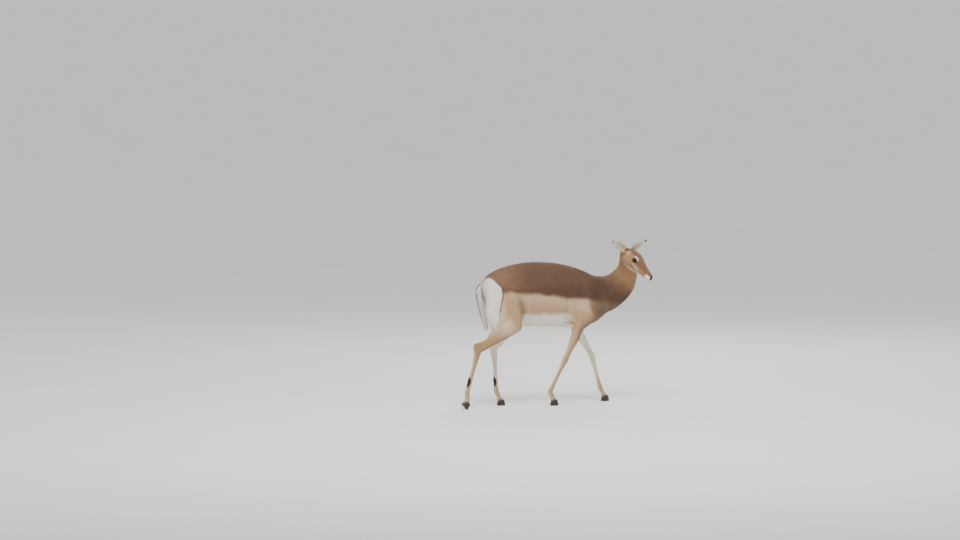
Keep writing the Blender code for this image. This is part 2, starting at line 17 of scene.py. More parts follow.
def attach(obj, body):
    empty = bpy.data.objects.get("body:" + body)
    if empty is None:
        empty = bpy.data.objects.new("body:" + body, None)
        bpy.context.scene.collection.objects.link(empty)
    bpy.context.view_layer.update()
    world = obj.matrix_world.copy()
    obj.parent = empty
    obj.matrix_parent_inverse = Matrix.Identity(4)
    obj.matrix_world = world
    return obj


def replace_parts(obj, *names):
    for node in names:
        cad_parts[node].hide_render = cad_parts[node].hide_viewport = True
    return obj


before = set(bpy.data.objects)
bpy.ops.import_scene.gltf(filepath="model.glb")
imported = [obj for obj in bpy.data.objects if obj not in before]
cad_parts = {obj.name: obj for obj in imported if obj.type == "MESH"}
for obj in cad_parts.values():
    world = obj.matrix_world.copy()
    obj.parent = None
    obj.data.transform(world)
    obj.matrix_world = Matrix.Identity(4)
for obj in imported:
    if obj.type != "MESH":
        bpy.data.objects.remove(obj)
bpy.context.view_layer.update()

# %% [markdown]
# ## The body's own axes
#
# Lengths are metres. The tables below are written with +X along the trunk from a point under the
# loins, and ORIGIN is the foot of the model's box in those axes, so everything is moved back by it at
# the end. The head has three axes of its own, because it is turned to the right and tipped down.

# %% Axes and named sizes
ORIGIN = np.array((0.072, -0.067, 0.0))
LEFT, RIGHT = 1, -1
SIDES = (LEFT, RIGHT)
WORDS = {LEFT: "left", RIGHT: "right"}

POLL = np.array((0.556, -0.12, 0.974))
HEAD_YAW = math.radians(-57)
HEAD_PITCH = math.radians(40)
AHEAD = np.array((math.cos(HEAD_PITCH) * math.cos(HEAD_YAW),
                  math.cos(HEAD_PITCH) * math.sin(HEAD_YAW),
                  -math.sin(HEAD_PITCH)))
ASIDE = np.array((-math.sin(HEAD_YAW), math.cos(HEAD_YAW), 0.0))
ABOVE = np.cross(AHEAD, ASIDE)
HEAD_AXES = np.stack([AHEAD, ASIDE, ABOVE], axis=1)
SIDEWAYS = np.array((0.0, 1.0, 0.0))


def head_point(along, out, up):
    """A place given forward of the poll, left of the middle and above the head's axis."""
    return POLL + AHEAD * along + ASIDE * out + ABOVE * up


def head_places(places):
    """Places as columns along, out and up in the head's axes."""
    return (places - POLL) @ HEAD_AXES


def mirrored(places):
    """All places brought to the left side."""
    return np.stack([places[:, 0], np.abs(places[:, 1]), places[:, 2]], axis=1)


def between(start, end, share):
    return start + (end - start) * share


def unit(vector):
    return vector / np.maximum(np.linalg.norm(vector, axis=-1, keepdims=True), 1e-9)


def ramp(value, low, high):
    """Rises smoothly from 0 at low to 1 at high."""
    share = np.clip((value - low) / (high - low), 0.0, 1.0)
    return share * share * (3.0 - 2.0 * share)


print("head points along", AHEAD.round(3))

# %% [markdown]
# ## Sections and joints
#
# A body is easiest to describe as a boat builder would: by its sections. Each row says where a section
# is and how deep and wide it is, and each leg is a chain of joints with a girth at shares of its bones.
# These are the sizes of the coat's outside, the same ones that the solids have.

# %% Sections of the trunk, neck, head and tail
TRUNK = [  # forward, top, bottom, half width, height of the widest place
    (-0.400, 0.772, 0.700, 0.034, 0.735),
    (-0.372, 0.810, 0.640, 0.064, 0.730),
    (-0.320, 0.843, 0.590, 0.083, 0.725),
    (-0.250, 0.870, 0.538, 0.092, 0.715),
    (-0.160, 0.889, 0.505, 0.099, 0.700),
    (-0.060, 0.897, 0.489, 0.110, 0.675),
    (0.040, 0.893, 0.484, 0.116, 0.658),
    (0.120, 0.884, 0.480, 0.112, 0.652),
    (0.200, 0.866, 0.475, 0.101, 0.650),
    (0.270, 0.844, 0.475, 0.090, 0.650),
    (0.340, 0.814, 0.486, 0.082, 0.650),
    (0.400, 0.780, 0.512, 0.074, 0.645),
    (0.450, 0.735, 0.556, 0.058, 0.645),
    (0.480, 0.690, 0.600, 0.030, 0.645),
]
NECK = [  # forward, left, up, depth towards the nape and the throat, half width, turn in degrees
    (0.300, 0.000, 0.668, 0.160, 0.160, 0.082, 0),
    (0.400, 0.000, 0.680, 0.122, 0.140, 0.078, 0),
    (0.485, -0.006, 0.708, 0.098, 0.122, 0.064, -4),
    (0.550, -0.020, 0.765, 0.078, 0.104, 0.052, -14),
    (0.580, -0.042, 0.830, 0.064, 0.071, 0.043, -28),
    (0.573, -0.065, 0.885, 0.056, 0.057, 0.039, -42),
    (0.553, -0.086, 0.930, 0.048, 0.050, 0.037, -54),
    (0.540, -0.100, 0.952, 0.036, 0.044, 0.034, -57),
]
HEAD = [  # along from the poll, top, bottom, half width, widest place
    (-0.022, -0.024, -0.074, 0.022, -0.050),
    (0.000, -0.003, -0.086, 0.038, -0.045),
    (0.030, 0.010, -0.094, 0.046, -0.035),
    (0.060, 0.016, -0.098, 0.0495, -0.027),
    (0.090, 0.016, -0.096, 0.0515, -0.022),
    (0.120, 0.008, -0.090, 0.0435, -0.030),
    (0.150, -0.001, -0.083, 0.0340, -0.038),
    (0.180, -0.009, -0.077, 0.0282, -0.041),
    (0.208, -0.015, -0.073, 0.0262, -0.043),
    (0.230, -0.020, -0.071, 0.0265, -0.045),
    (0.244, -0.026, -0.067, 0.0225, -0.047),
    (0.251, -0.035, -0.060, 0.0130, -0.048),
]
TAIL = [  # forward, up, half thickness, half width
    (-0.368, 0.781, 0.0155, 0.0165),
    (-0.393, 0.779, 0.0165, 0.0200),
    (-0.411, 0.757, 0.0165, 0.0245),
    (-0.417, 0.715, 0.0170, 0.0290),
    (-0.412, 0.665, 0.0180, 0.0310),
    (-0.401, 0.612, 0.0175, 0.0300),
    (-0.387, 0.560, 0.0160, 0.0270),
    (-0.374, 0.512, 0.0125, 0.0205),
    (-0.365, 0.474, 0.0050, 0.0085),
]
print(len(TRUNK) + len(NECK) + len(HEAD) + len(TAIL), "sections of trunk, neck, head and tail")

# %% Joints and girths of the legs
CORONET_HEIGHT = 0.031


def both_sides(table, **shared):
    """The joints of each side as places; the table gives how far out they are, left and right alike."""
    return {side: {name: np.array((x, y * side, z)) for name, (x, y, z) in {**shared, **joints}.items()}
            for side, joints in table.items()}


FORE = both_sides({
    RIGHT: dict(point=(0.388, 0.076, 0.605), elbow=(0.232, 0.088, 0.492), carpus=(0.14, 0.076, 0.287),
                fetlock=(0.038, 0.07, 0.088), coronet=(0.06, 0.07, CORONET_HEIGHT)),
    LEFT: dict(point=(0.402, 0.076, 0.615), elbow=(0.272, 0.088, 0.492), carpus=(0.396, 0.076, 0.29),
               fetlock=(0.452, 0.07, 0.086), coronet=(0.48, 0.07, CORONET_HEIGHT)),
}, top=(0.262, 0.034, 0.8))
HIND = both_sides({
    RIGHT: dict(stifle=(-0.205, 0.096, 0.508), hock=(-0.458, 0.072, 0.352),
                fetlock=(-0.53, 0.072, 0.106), coronet=(-0.532, 0.072, 0.042)),
    LEFT: dict(stifle=(-0.085, 0.096, 0.553), hock=(-0.28, 0.074, 0.345),
               fetlock=(-0.264, 0.074, 0.09), coronet=(-0.238, 0.074, CORONET_HEIGHT)),
}, croup=(-0.215, 0.048, 0.795), seat=(-0.345, 0.05, 0.745))
HEEL_LIFT = {("hind", RIGHT): 48.0}  # degrees by which a foot stands on its toe tips
FORE_GIRTH = {  # below each joint: share of the bone, towards the front, towards the back, half width
    "elbow": [(0.0, 0.044, 0.048, 0.032), (0.22, 0.038, 0.038, 0.03), (0.48, 0.029, 0.027, 0.025),
              (0.76, 0.02, 0.019, 0.0185), (0.92, 0.0195, 0.019, 0.0185)],
    "carpus": [(0.0, 0.0205, 0.0215, 0.02), (0.13, 0.0175, 0.018, 0.0175),
               (0.36, 0.0132, 0.0145, 0.0135), (0.72, 0.0125, 0.0148, 0.013),
               (0.9, 0.0145, 0.017, 0.0155)],
    "fetlock": [(0.0, 0.0162, 0.0185, 0.0172), (0.45, 0.0142, 0.0145, 0.0158),
                (1.0, 0.0165, 0.016, 0.019)],
}
HIND_GIRTH = {
    "stifle": [(-0.13, 0.02, 0.04, 0.024), (-0.07, 0.034, 0.052, 0.033), (0.0, 0.042, 0.058, 0.038),
               (0.25, 0.038, 0.044, 0.033), (0.52, 0.028, 0.03, 0.0255), (0.8, 0.0205, 0.0215, 0.019)],
    "hock": [(0.0, 0.0215, 0.027, 0.02), (0.1, 0.0205, 0.0235, 0.019), (0.28, 0.0158, 0.0175, 0.0152),
             (0.58, 0.014, 0.0158, 0.0135), (0.74, 0.014, 0.0205, 0.015),
             (0.86, 0.0138, 0.016, 0.014)],
    "fetlock": [(0.0, 0.0165, 0.019, 0.0172), (0.45, 0.0145, 0.0148, 0.0158),
                (1.0, 0.0165, 0.016, 0.019)],
}
print(sum(len(table) for table in FORE_GIRTH.values()), "girths down a foreleg")

# %% [markdown]
# ## Lofting
#
# A loft joins rings into a tube. Each ring is a superellipse, a little squarer than an ellipse, and a
# smooth curve through the rows gives as many rings as are wanted. All the tubes are closed bodies that
# run into each other, and a later step fuses them.

# %% Rings from rows
RING_POINTS = 40
ROUNDNESS = 2.15  # exponent of the superellipse
RING_GAP = 0.01  # space between the rings of a loft


def smooth_through(rows, step=RING_GAP):
    """Rows read about every step along a smooth curve through the given rows."""
    rows = np.array(rows, dtype=float)
    along = np.concatenate([[0.0], np.cumsum(np.linalg.norm(np.diff(rows[:, :3], axis=0), axis=1))])
    slopes = np.gradient(rows, along, axis=0)
    at = np.linspace(0.0, along[-1], max(int(along[-1] / step), 4))
    first = np.clip(np.searchsorted(along, at, side="right") - 1, 0, len(rows) - 2)
    span = (along[first + 1] - along[first])[:, None]
    t = (at - along[first])[:, None] / span
    return (rows[first] * (2 * t**3 - 3 * t**2 + 1) + rows[first + 1] * (3 * t**2 - 2 * t**3)
            + slopes[first] * span * (t**3 - 2 * t**2 + t) + slopes[first + 1] * span * (t**3 - t**2))


def rounded(value, exponent=ROUNDNESS):
    return np.sign(value) * np.abs(value) ** (2.0 / exponent)


ANGLES = np.arange(RING_POINTS) * 2 * math.pi / RING_POINTS
RISE = rounded(np.sin(ANGLES))
SPREAD = rounded(np.cos(ANGLES))


def tube_rings(rows):
    """Rings round a spine; a row is x, y, z, upper depth, lower depth, half width and maybe a turn."""
    rows = smooth_through(rows)
    spine = rows[:, :3]
    tangent = unit(np.gradient(spine, axis=0))
    turn = np.radians(rows[:, 6]) if rows.shape[1] > 6 else np.zeros(len(rows))
    lateral = np.stack([-np.sin(turn), np.cos(turn), np.zeros(len(rows))], axis=1)
    lateral = unit(lateral - tangent * np.sum(lateral * tangent, axis=1, keepdims=True))
    upper = np.cross(tangent, lateral)
    depth = np.where(RISE > 0, rows[:, 3:4], rows[:, 4:5]) * RISE
    width = rows[:, 5:6] * SPREAD
    return spine[:, None] + depth[..., None] * upper[:, None] + width[..., None] * lateral[:, None]


def upright_rings(rows, base, axes):
    """Rings square to one axis; a row is along, top, bottom, half width, height of the widest place."""
    along, lateral, upper = axes
    rows = [(row[0], 0.0, row[4], row[1] - row[4], row[4] - row[2], row[3]) for row in rows]
    rings = []
    for forward, _, level, rise, fall, half in smooth_through(rows):
        height = level + np.where(RISE > 0, rise, fall) * RISE
        rings.append(base + along * forward + np.outer(half * SPREAD, lateral) + np.outer(height, upper))
    return np.array(rings)


print(RING_POINTS, "points in a ring, and a ring every", RING_GAP * 1000, "mm")


# %% Bodies from rings
def add_rings(mesh, rings, endless=False):
    """Join a row of rings into one closed body, with flat ends or with the last ring on the first."""
    loops = [[mesh.verts.new(point) for point in ring] for ring in rings]
    count = len(loops[0])
    for near, far in zip(loops, loops[1:] + loops[:1] * endless):
        for i in range(count):
            j = (i + 1) % count
            mesh.faces.new((near[i], near[j], far[j], far[i]))
    if not endless:
        mesh.faces.new(list(reversed(loops[0])))
        mesh.faces.new(loops[-1])


def thing_of(mesh, name):
    """Turn a bmesh into an object with its faces out."""
    bmesh.ops.recalc_face_normals(mesh, faces=mesh.faces)
    if mesh.calc_volume(signed=True) < 0.0:
        bmesh.ops.reverse_faces(mesh, faces=mesh.faces)
    data = bpy.data.meshes.new(name)
    mesh.to_mesh(data)
    mesh.free()
    data.shade_smooth()
    thing = bpy.data.objects.new(name, data)
    bpy.context.collection.objects.link(thing)
    return thing


def apply_modifiers(thing):
    """Replace an object's mesh by what its modifiers make of it."""
    graph = bpy.context.evaluated_depsgraph_get()
    data = bpy.data.meshes.new_from_object(thing.evaluated_get(graph))
    thing.modifiers.clear()
    thing.data = data


# %% [markdown]
# ## Limbs
#
# Each foreleg is a shoulder blade, an upper arm, the triceps behind it and the leg from the elbow
# down. Each hind leg is two thigh muscles, the tendon to the point of the hock and the leg below. The
# muscles overlap where they do in the animal, so the fused skin shows their swell.

# %% Lofts of the limbs and the tail
FOOT_INSIDE = 0.006  # how far the leg goes on inside the hoof
FOOT_TAPER = 0.92  # and its girth there, as a share of that at the coronet


def leg_rows(joints, girths):
    """Spine rows down a leg, placed by the share of each bone's length, and on into the hoof."""
    order = list(joints)
    rows = []
    for joint, table in girths.items():
        start, end = joints[joint], joints[order[order.index(joint) + 1]]
        for share, front, back, half in table:
            rows.append((*between(start, end, share), front, back, half))
    inside = end + unit(end - start) * FOOT_INSIDE
    return rows + [(*inside, front * FOOT_TAPER, back * FOOT_TAPER, half * FOOT_TAPER)]


def foreleg_rows(side):
    """Rows of the shoulder blade, the upper arm, the triceps and the leg."""
    joints = FORE[side]
    top, point, elbow = joints["top"], joints["point"], joints["elbow"]
    blade = [
        (*top, 0.03, 0.035, 0.016),
        (*between(top, point, 0.32), 0.048, 0.064, 0.032),
        (*between(top, point, 0.7), 0.05, 0.07, 0.038),
        (*between(point, elbow, 0.08), 0.036, 0.05, 0.033),
        (*between(point, elbow, 0.28), 0.02, 0.03, 0.022),
    ]
    arm = [
        (*(between(point, elbow, 0.02) + (0.0, 0.0, 0.04)), 0.022, 0.032, 0.02),
        (*(between(point, elbow, 0.2) + (0.0, 0.0, 0.02)), 0.04, 0.05, 0.036),
        (*between(point, elbow, 0.55), 0.04, 0.052, 0.038),
        (*(elbow + (0.004, 0.0, -0.004)), 0.036, 0.042, 0.034),
    ]
    triceps = [
        (*between(top, elbow, 0.42), 0.05, 0.036, 0.024),
        (*(elbow + (0.0, -0.006 * side, 0.075)), 0.058, 0.046, 0.035),
        (*(elbow + (-0.01, 0.0, 0.008)), 0.044, 0.032, 0.028),
    ]
    return [blade, arm, triceps, leg_rows(joints, FORE_GIRTH)]


def hindleg_rows(side):
    """Rows of the front and back of the thigh, the tendon and the leg."""
    joints = HIND[side]
    croup, seat, stifle, hock = (joints[name] for name in ("croup", "seat", "stifle", "hock"))
    behind = -unit(np.cross(hock - stifle, SIDEWAYS))
    heel = hock + (-0.022, 0.0, 0.036)
    back = np.array((-0.092, 0.004 * side, -0.028))
    front_thigh = [
        (*croup, 0.04, 0.06, 0.028),
        (*(between(croup, stifle, 0.45) + (0.0, 0.013 * side, 0.01)), 0.058, 0.085, 0.043),
        (*between(croup, stifle, 0.82), 0.05, 0.072, 0.044),
        (*between(stifle, hock, 0.14), 0.04, 0.05, 0.036),
        (*between(stifle, hock, 0.3), 0.026, 0.038, 0.028),
    ]
    back_thigh = [
        (*seat, 0.075, 0.048, 0.036),
        (*(between(seat, stifle, 0.3) + back * 0.42), 0.085, 0.062, 0.044),
        (*(between(seat, stifle, 0.62) + back), 0.085, 0.06, 0.04),
        (*(between(stifle, hock, 0.44) + behind * 0.046), 0.056, 0.038, 0.029),
        (*(between(stifle, hock, 0.64) + behind * 0.036), 0.034, 0.018, 0.018),
    ]
    tendon = [
        (*(between(stifle, hock, 0.52) + behind * 0.036), 0.032, 0.02, 0.018),
        (*(between(stifle, hock, 0.78) + behind * 0.031), 0.026, 0.012, 0.0115),
        (*heel, 0.019, 0.013, 0.0125),
        (*(hock + (-0.016, 0.0, 0.004)), 0.016, 0.014, 0.0135),
        (*(hock + (-0.014, 0.0, -0.026)), 0.014, 0.01, 0.012),
    ]
    return [front_thigh, back_thigh, tendon, leg_rows(joints, HIND_GIRTH)]


DOCK = 0.5  # the tail's bones and skin fill this share of its hair's width
DOCK_END = 0.7  # and this share of its length


def dock_rows():
    """Rows of the bony tail inside its hair."""
    rows = [(x, 0.0, z, thick * DOCK, thick * DOCK, half * DOCK) for x, z, thick, half in TAIL]
    return rows[:int(len(rows) * DOCK_END) + 1]


print(2 * (len(foreleg_rows(LEFT)) + len(hindleg_rows(LEFT))), "lofts in the legs")


# %% [markdown]
# ## One skin
#
# Blender's voxel Remesh reads the overlapping lofts as one volume and wraps it in even quads, the
# quickest way to fuse muscle into muscle without a seam. Its steps are then relaxed away, most over the
# trunk and hardly at all on slender parts, which keeps the form of the solids.

# %% Read, write and relax a mesh
def rows_of(items, entry, width, kind=np.float32):
    """One entry of all the items as an array, a row for each."""
    values = np.empty(len(items) * width, dtype=kind)
    items.foreach_get(entry, values)
    return values.reshape(-1, width)


def vertex_places(data):
    return rows_of(data.vertices, "co", 3).astype(float)


def vertex_normals(data):
    return rows_of(data.vertex_normals, "vector", 3).astype(float)


def edge_ends(data):
    return rows_of(data.edges, "vertices", 2, np.int32)


def put_places(data, places):
    data.vertices.foreach_set("co", places.ravel())
    data.update()


def write_field(data, label, values, domain="POINT"):
    """Keep a yes or no, a number or a direction for each vertex, edge or corner under a name."""
    if values.dtype == bool:
        data.attributes.new(label, "BOOLEAN", domain).data.foreach_set("value", values)
        return
    kind, entry = ("FLOAT_VECTOR", "vector") if values.ndim == 2 else ("FLOAT", "value")
    field = data.attributes.new(label, kind, domain)
    field.data.foreach_set(entry, values.astype(np.float32).ravel())


def relax(data, weight, rounds):
    """Move each vertex towards the mean of its neighbours, as far as its weight says."""
    places = vertex_places(data)
    ends = edge_ends(data)
    here = np.concatenate([ends[:, 0], ends[:, 1]])
    there = np.concatenate([ends[:, 1], ends[:, 0]])
    degree = np.maximum(np.bincount(here, minlength=len(places)), 1)[:, None]
    weight = np.broadcast_to(weight, len(places))[:, None]
    for _ in range(rounds):
        total = [np.bincount(here, weights=places[there, k], minlength=len(places)) for k in range(3)]
        places = places + weight * (np.stack(total, axis=1) / degree - places)
    put_places(data, places)


# %% Fuse the lofts
VOXEL = 0.004
SOFT_ROUNDS = 94  # as many as make this grain as soft as the solids are
BLEND_LOW, BLEND_HIGH = 0.4, 0.54  # the heights between which the softening grows
FIRM, SOFT = 0.06, 0.5  # how much the slender parts relax, and the trunk beyond that


def fused_body():
    mesh = bmesh.new()
    add_rings(mesh, upright_rings(TRUNK, np.zeros(3), np.eye(3)))
    add_rings(mesh, upright_rings(HEAD, POLL, HEAD_AXES.T))
    add_rings(mesh, tube_rings(NECK))
    add_rings(mesh, tube_rings(dock_rows()))
    for side in SIDES:
        for rows in foreleg_rows(side) + hindleg_rows(side):
            add_rings(mesh, tube_rings(rows))
    body = thing_of(mesh, "skin")
    fuse = body.modifiers.new("fuse", "REMESH")
    fuse.mode = "VOXEL"
    fuse.voxel_size = VOXEL
    apply_modifiers(body)
    places = vertex_places(body.data)
    rise = np.clip((places[:, 2] - BLEND_LOW) / (BLEND_HIGH - BLEND_LOW), 0.0, 1.0)
    along = head_places(places)[:, 0]
    near_head = np.clip((along + 0.03) / 0.05, 0.0, 1.0) * (places[:, 0] > NECK[2][0])
    relax(body.data, FIRM + SOFT * rise * (1.0 - near_head), SOFT_ROUNDS)
    return body


SOFT_SPOTS = [  # what, place on the left, reach, rounds
    ("front of the thigh", (-0.15, 0.1, 0.62), (0.05, 0.07, 0.12), 150),
    ("front of the shoulder", (0.335, 0.06, 0.66), (0.055, 0.06, 0.09), 50),
    ("root of the neck", (0.39, 0.07, 0.64), (0.045, 0.07, 0.08), 130),
    ("point of the forward elbow", (0.242, 0.088, 0.468), (0.042, 0.05, 0.042), 240),
]


def soften_spots(body):
    """Relax the few places where one loft still shows as a ledge on another."""
    for _, place, reach, rounds in SOFT_SPOTS:
        share = (mirrored(vertex_places(body.data)) - place) / np.array(reach)
        relax(body.data, 0.6 * np.exp(-np.sum(share * share, axis=1) ** 2), rounds)


skin = fused_body()
soften_spots(skin)
print("skin after fusing", len(skin.data.vertices), "vertices")

# %% [markdown]
# ## Under the coat
#
# The tables give the outside of the hair. The skin lies deeper by the coat's depth: most on the trunk
# and neck, least on the muzzle. One function says how deep, for the locks later stand as high.

# %% Draw the skin in
BODY_COAT = 0.0031
LEG_COAT = 0.0019
FOOT_COAT = 0.0013
FACE_COAT = 0.0014
MUZZLE_COAT = 0.0008


def on_head(places):
    """True in front of the nape and above the throat."""
    local = head_places(places)
    return (local[:, 0] > -0.022) & (local[:, 2] > -0.112) & (places[:, 0] > 0.3) & (places[:, 2] > 0.75)


def coat_depth(places):
    """How far the coat's tips stand above the skin."""
    depth = np.interp(places[:, 2], (0.05, 0.16, 0.36, 0.5), (FOOT_COAT, LEG_COAT, LEG_COAT, BODY_COAT))
    along = head_places(places)[:, 0]
    face = np.interp(along, (-0.02, 0.04, 0.17, 0.22), (BODY_COAT, FACE_COAT, FACE_COAT, MUZZLE_COAT))
    return np.where(on_head(places), face, depth)


def draw_in(data):
    places = vertex_places(data)
    put_places(data, places - vertex_normals(data) * coat_depth(places)[:, None])


draw_in(skin.data)
relax(skin.data, 0.3, 4)
print("coat", MUZZLE_COAT * 1000, "mm deep on the muzzle and", BODY_COAT * 1000, "on the trunk")

# %% [markdown]
# ## Finer where it matters
#
# Four millimetres is fine enough for a flank but not for an eyelid. The quads of the head are divided
# once, those round the eyes and the mouth once more, and each time the new points are relaxed so that
# no facet stays.

# %% Divide the head's faces
EYE_PLACE = np.array((0.098, 0.0375, -0.016))
EYE_RADIUS = 0.0165
FINE_EYE = 0.034  # reach of the finest faces round each eye
FINE_MOUTH = 0.178  # and from here forward


def refine(body, wanted, rounds):
    """Divide the faces whose middle is wanted, then relax their vertices."""
    mesh = bmesh.new()
    mesh.from_mesh(body.data)
    centres = np.array([face.calc_center_median() for face in mesh.faces])
    chosen = wanted(centres)
    edges = {edge for face, use in zip(mesh.faces, chosen) if use for edge in face.edges}
    bmesh.ops.subdivide_edges(mesh, edges=list(edges), cuts=1, use_grid_fill=True)
    mesh.to_mesh(body.data)
    mesh.free()
    relax(body.data, np.where(wanted(vertex_places(body.data)), 0.5, 0.0), rounds)


def near_features(places):
    local = head_places(places)
    near_eye = np.linalg.norm(mirrored(local) - EYE_PLACE, axis=1) < FINE_EYE
    return near_eye | ((local[:, 0] > FINE_MOUTH) & on_head(places))


refine(skin, on_head, 5)
refine(skin, near_features, 4)
print("skin after refining", len(skin.data.vertices), "vertices")

# %% [markdown]
# ## Forms under the skin
#
# Bones and muscles show as low swells and hollows. Each is a soft dome with a place, a reach along each
# axis and a height, which is below zero for a hollow. A table of them does the work of a sculptor's
# thumb, and the same on both sides.

# %% Forms of the head
HEAD_FORMS = [  # what, place in the head's axes, reach, height
    ("brow", (0.096, 0.044, 0.007), (0.02, 0.014, 0.0075), 0.0038),
    ("temple", (0.052, 0.042, 0.0), (0.018, 0.016, 0.013), -0.0032),
    ("hollow before the eye", (0.136, 0.034, -0.018), (0.02, 0.014, 0.012), -0.0042),
    ("cheek", (0.056, 0.046, -0.058), (0.03, 0.022, 0.022), 0.0034),
    ("edge of the jaw", (0.05, 0.03, -0.09), (0.045, 0.02, 0.008), 0.002),
    ("hollow under the cheek", (0.112, 0.028, -0.076), (0.026, 0.02, 0.012), -0.0036),
    ("cheekbone", (0.112, 0.044, -0.04), (0.03, 0.014, 0.006), 0.0026),
    ("face crest", (0.148, 0.034, -0.046), (0.024, 0.014, 0.0065), 0.0016),
    ("side of the nose", (0.182, 0.024, -0.03), (0.03, 0.01, 0.01), -0.0022),
    ("nose bone", (0.16, 0.01, -0.006), (0.05, 0.009, 0.01), 0.0012),
    ("forehead", (0.092, 0.0, 0.016), (0.024, 0.014, 0.01), -0.0018),
    ("poll", (0.016, 0.0, 0.01), (0.018, 0.02, 0.014), 0.0018),
    ("wing of the nostril", (0.238, 0.019, -0.036), (0.009, 0.008, 0.006), 0.0026),
    ("upper lip", (0.218, 0.02, -0.052), (0.02, 0.012, 0.0065), 0.0024),
    ("corner of the mouth", (0.186, 0.022, -0.062), (0.008, 0.012, 0.006), -0.0016),
    ("cleft of the lip", (0.254, 0.0, -0.051), (0.01, 0.0016, 0.008), -0.0016),
    ("chin", (0.222, 0.0, -0.068), (0.016, 0.014, 0.007), 0.0022),
    ("nostril", (0.2485, 0.012, -0.04), (0.008, 0.0034, 0.0042), -0.0062),
    ("slit of the nostril", (0.244, 0.018, -0.0365), (0.0085, 0.005, 0.002), -0.0034),
]


def domes(places, forms):
    """Height of all the forms together at each place."""
    total = np.zeros(len(places))
    for _, place, reach, height in forms:
        share = (places - np.array(place)) / np.array(reach)
        total += height * np.exp(-np.sum(share * share, axis=1))
    return total


print(len(HEAD_FORMS), "forms on the head")


# %% Forms of the body
def body_forms(side):
    """Forms of the trunk and the limbs on one side, placed by that side's joints."""
    top, point, elbow = (FORE[side][name] for name in ("top", "point", "elbow"))
    seat, stifle, hock = (HIND[side][name] for name in ("seat", "stifle", "hock"))
    above_hock = (0.008, 0.012, 0.034)
    return [
        ("hip bone", (-0.21, 0.076 * side, 0.842), (0.024, 0.03, 0.018), 0.0034),
        ("flank hollow", (-0.118, 0.1 * side, 0.785), (0.06, 0.05, 0.038), -0.007),
        ("loin", (-0.11, 0.075 * side, 0.85), (0.08, 0.03, 0.016), 0.0016),
        ("pin bone", (-0.38, 0.046 * side, 0.8), (0.02, 0.02, 0.02), 0.0024),
        ("behind the shoulder", elbow + (-0.062, 0.018 * side, 0.14), (0.024, 0.05, 0.11), -0.005),
        ("edge of the blade", between(top, elbow, 0.25) + (-0.02, 0.04 * side, 0.0),
         (0.02, 0.05, 0.06), 0.0022),
        ("spine of the blade", between(top, point, 0.5) + (0.0, 0.04 * side, 0.0),
         (0.018, 0.05, 0.07), 0.002),
        ("point of the shoulder", point + (0.01, 0.02 * side, 0.0), (0.022, 0.03, 0.024), 0.0026),
        ("elbow", elbow + (-0.04, 0.02 * side, 0.02), (0.018, 0.03, 0.018), 0.003),
        ("crease of the elbow", elbow + (0.045, 0.03 * side, 0.012), (0.02, 0.03, 0.016), -0.003),
        ("fold of the flank", stifle + (0.052, 0.022 * side, 0.1), (0.026, 0.05, 0.06), -0.005),
        ("stifle", stifle + (0.034, 0.02 * side, -0.006), (0.026, 0.03, 0.03), 0.0016),
        ("groove of the thigh", between(seat, stifle, 0.55) + (-0.045, 0.04 * side, 0.0),
         (0.014, 0.04, 0.09), -0.0035),
        ("front of the hock", hock + (0.016, 0.0, 0.01), (0.014, 0.02, 0.02), -0.0012),
        ("outside above the hock", hock + (0.004, 0.018 * side, 0.05), above_hock, -0.0042),
        ("inside above the hock", hock + (0.004, -0.018 * side, 0.05), above_hock, -0.0042),
    ]


print(len(body_forms(LEFT)), "forms on each side of the body")

# %% Ribs, tendons and the mouth
RIBS = 7
RIB_DEPTH = 0.00018
RIB_FRONT, RIB_BACK = 0.215, -0.06


def ribs(places):
    """A faint row of slanting ribs behind the shoulder."""
    slant = places[:, 0] + 0.22 * (places[:, 2] - 0.66)
    wave = np.cos((slant - RIB_BACK) / (RIB_FRONT - RIB_BACK) * RIBS * 2 * math.pi)
    behind = ramp(slant, RIB_BACK - 0.02, RIB_BACK + 0.04)
    before = ramp(-slant, -RIB_FRONT - 0.01, -RIB_FRONT + 0.05)
    height = ramp(places[:, 2], 0.54, 0.62) * ramp(-places[:, 2], -0.8, -0.72)
    return RIB_DEPTH * wave * (behind * before) * height * (np.abs(places[:, 1]) > 0.05)


CANNON_GROOVE = 0.0016
GROOVE_BACK = 0.003  # how far behind the bone's axis the groove runs, and its half width


def cannon_grooves(places):
    """The groove between the cannon bone and the tendons behind it, down both sides of each leg."""
    total = np.zeros(len(places))
    for joints, upper in ((FORE, "carpus"), (HIND, "hock")):
        for side in SIDES:
            start = joints[side][upper]
            shaft = joints[side]["fetlock"] - start
            length = np.linalg.norm(shaft)
            shaft = shaft / length
            rear = unit(shaft * shaft[0] - (1.0, 0.0, 0.0))
            local = places - start
            along = local @ shaft / length
            back = local @ rear
            near = np.linalg.norm(local - np.outer(local @ shaft, shaft), axis=1) < 0.03
            line = np.exp(-((back - GROOVE_BACK) / GROOVE_BACK) ** 2)
            total -= CANNON_GROOVE * line * near * ramp(along, 0.1, 0.3) * ramp(-along, -0.98, -0.84)
    return total


MOUTH_BACK, MOUTH_FRONT = 0.184, 0.254  # ends of the line of the mouth, along the head
MOUTH_GROOVE, MOUTH_HALF = 0.0019, 0.0013  # its depth and half width


def mouth_height(along):
    """How high the line of the mouth runs at each place along the muzzle."""
    return np.interp(along, (MOUTH_BACK, 0.2, 0.232, MOUTH_FRONT), (-0.063, -0.0598, -0.0575, -0.056))


def mouth_groove(local):
    line = np.exp(-((local[:, 2] - mouth_height(local[:, 0])) / MOUTH_HALF) ** 2)
    return -MOUTH_GROOVE * line * ramp(local[:, 0], MOUTH_BACK, MOUTH_BACK + 0.01)


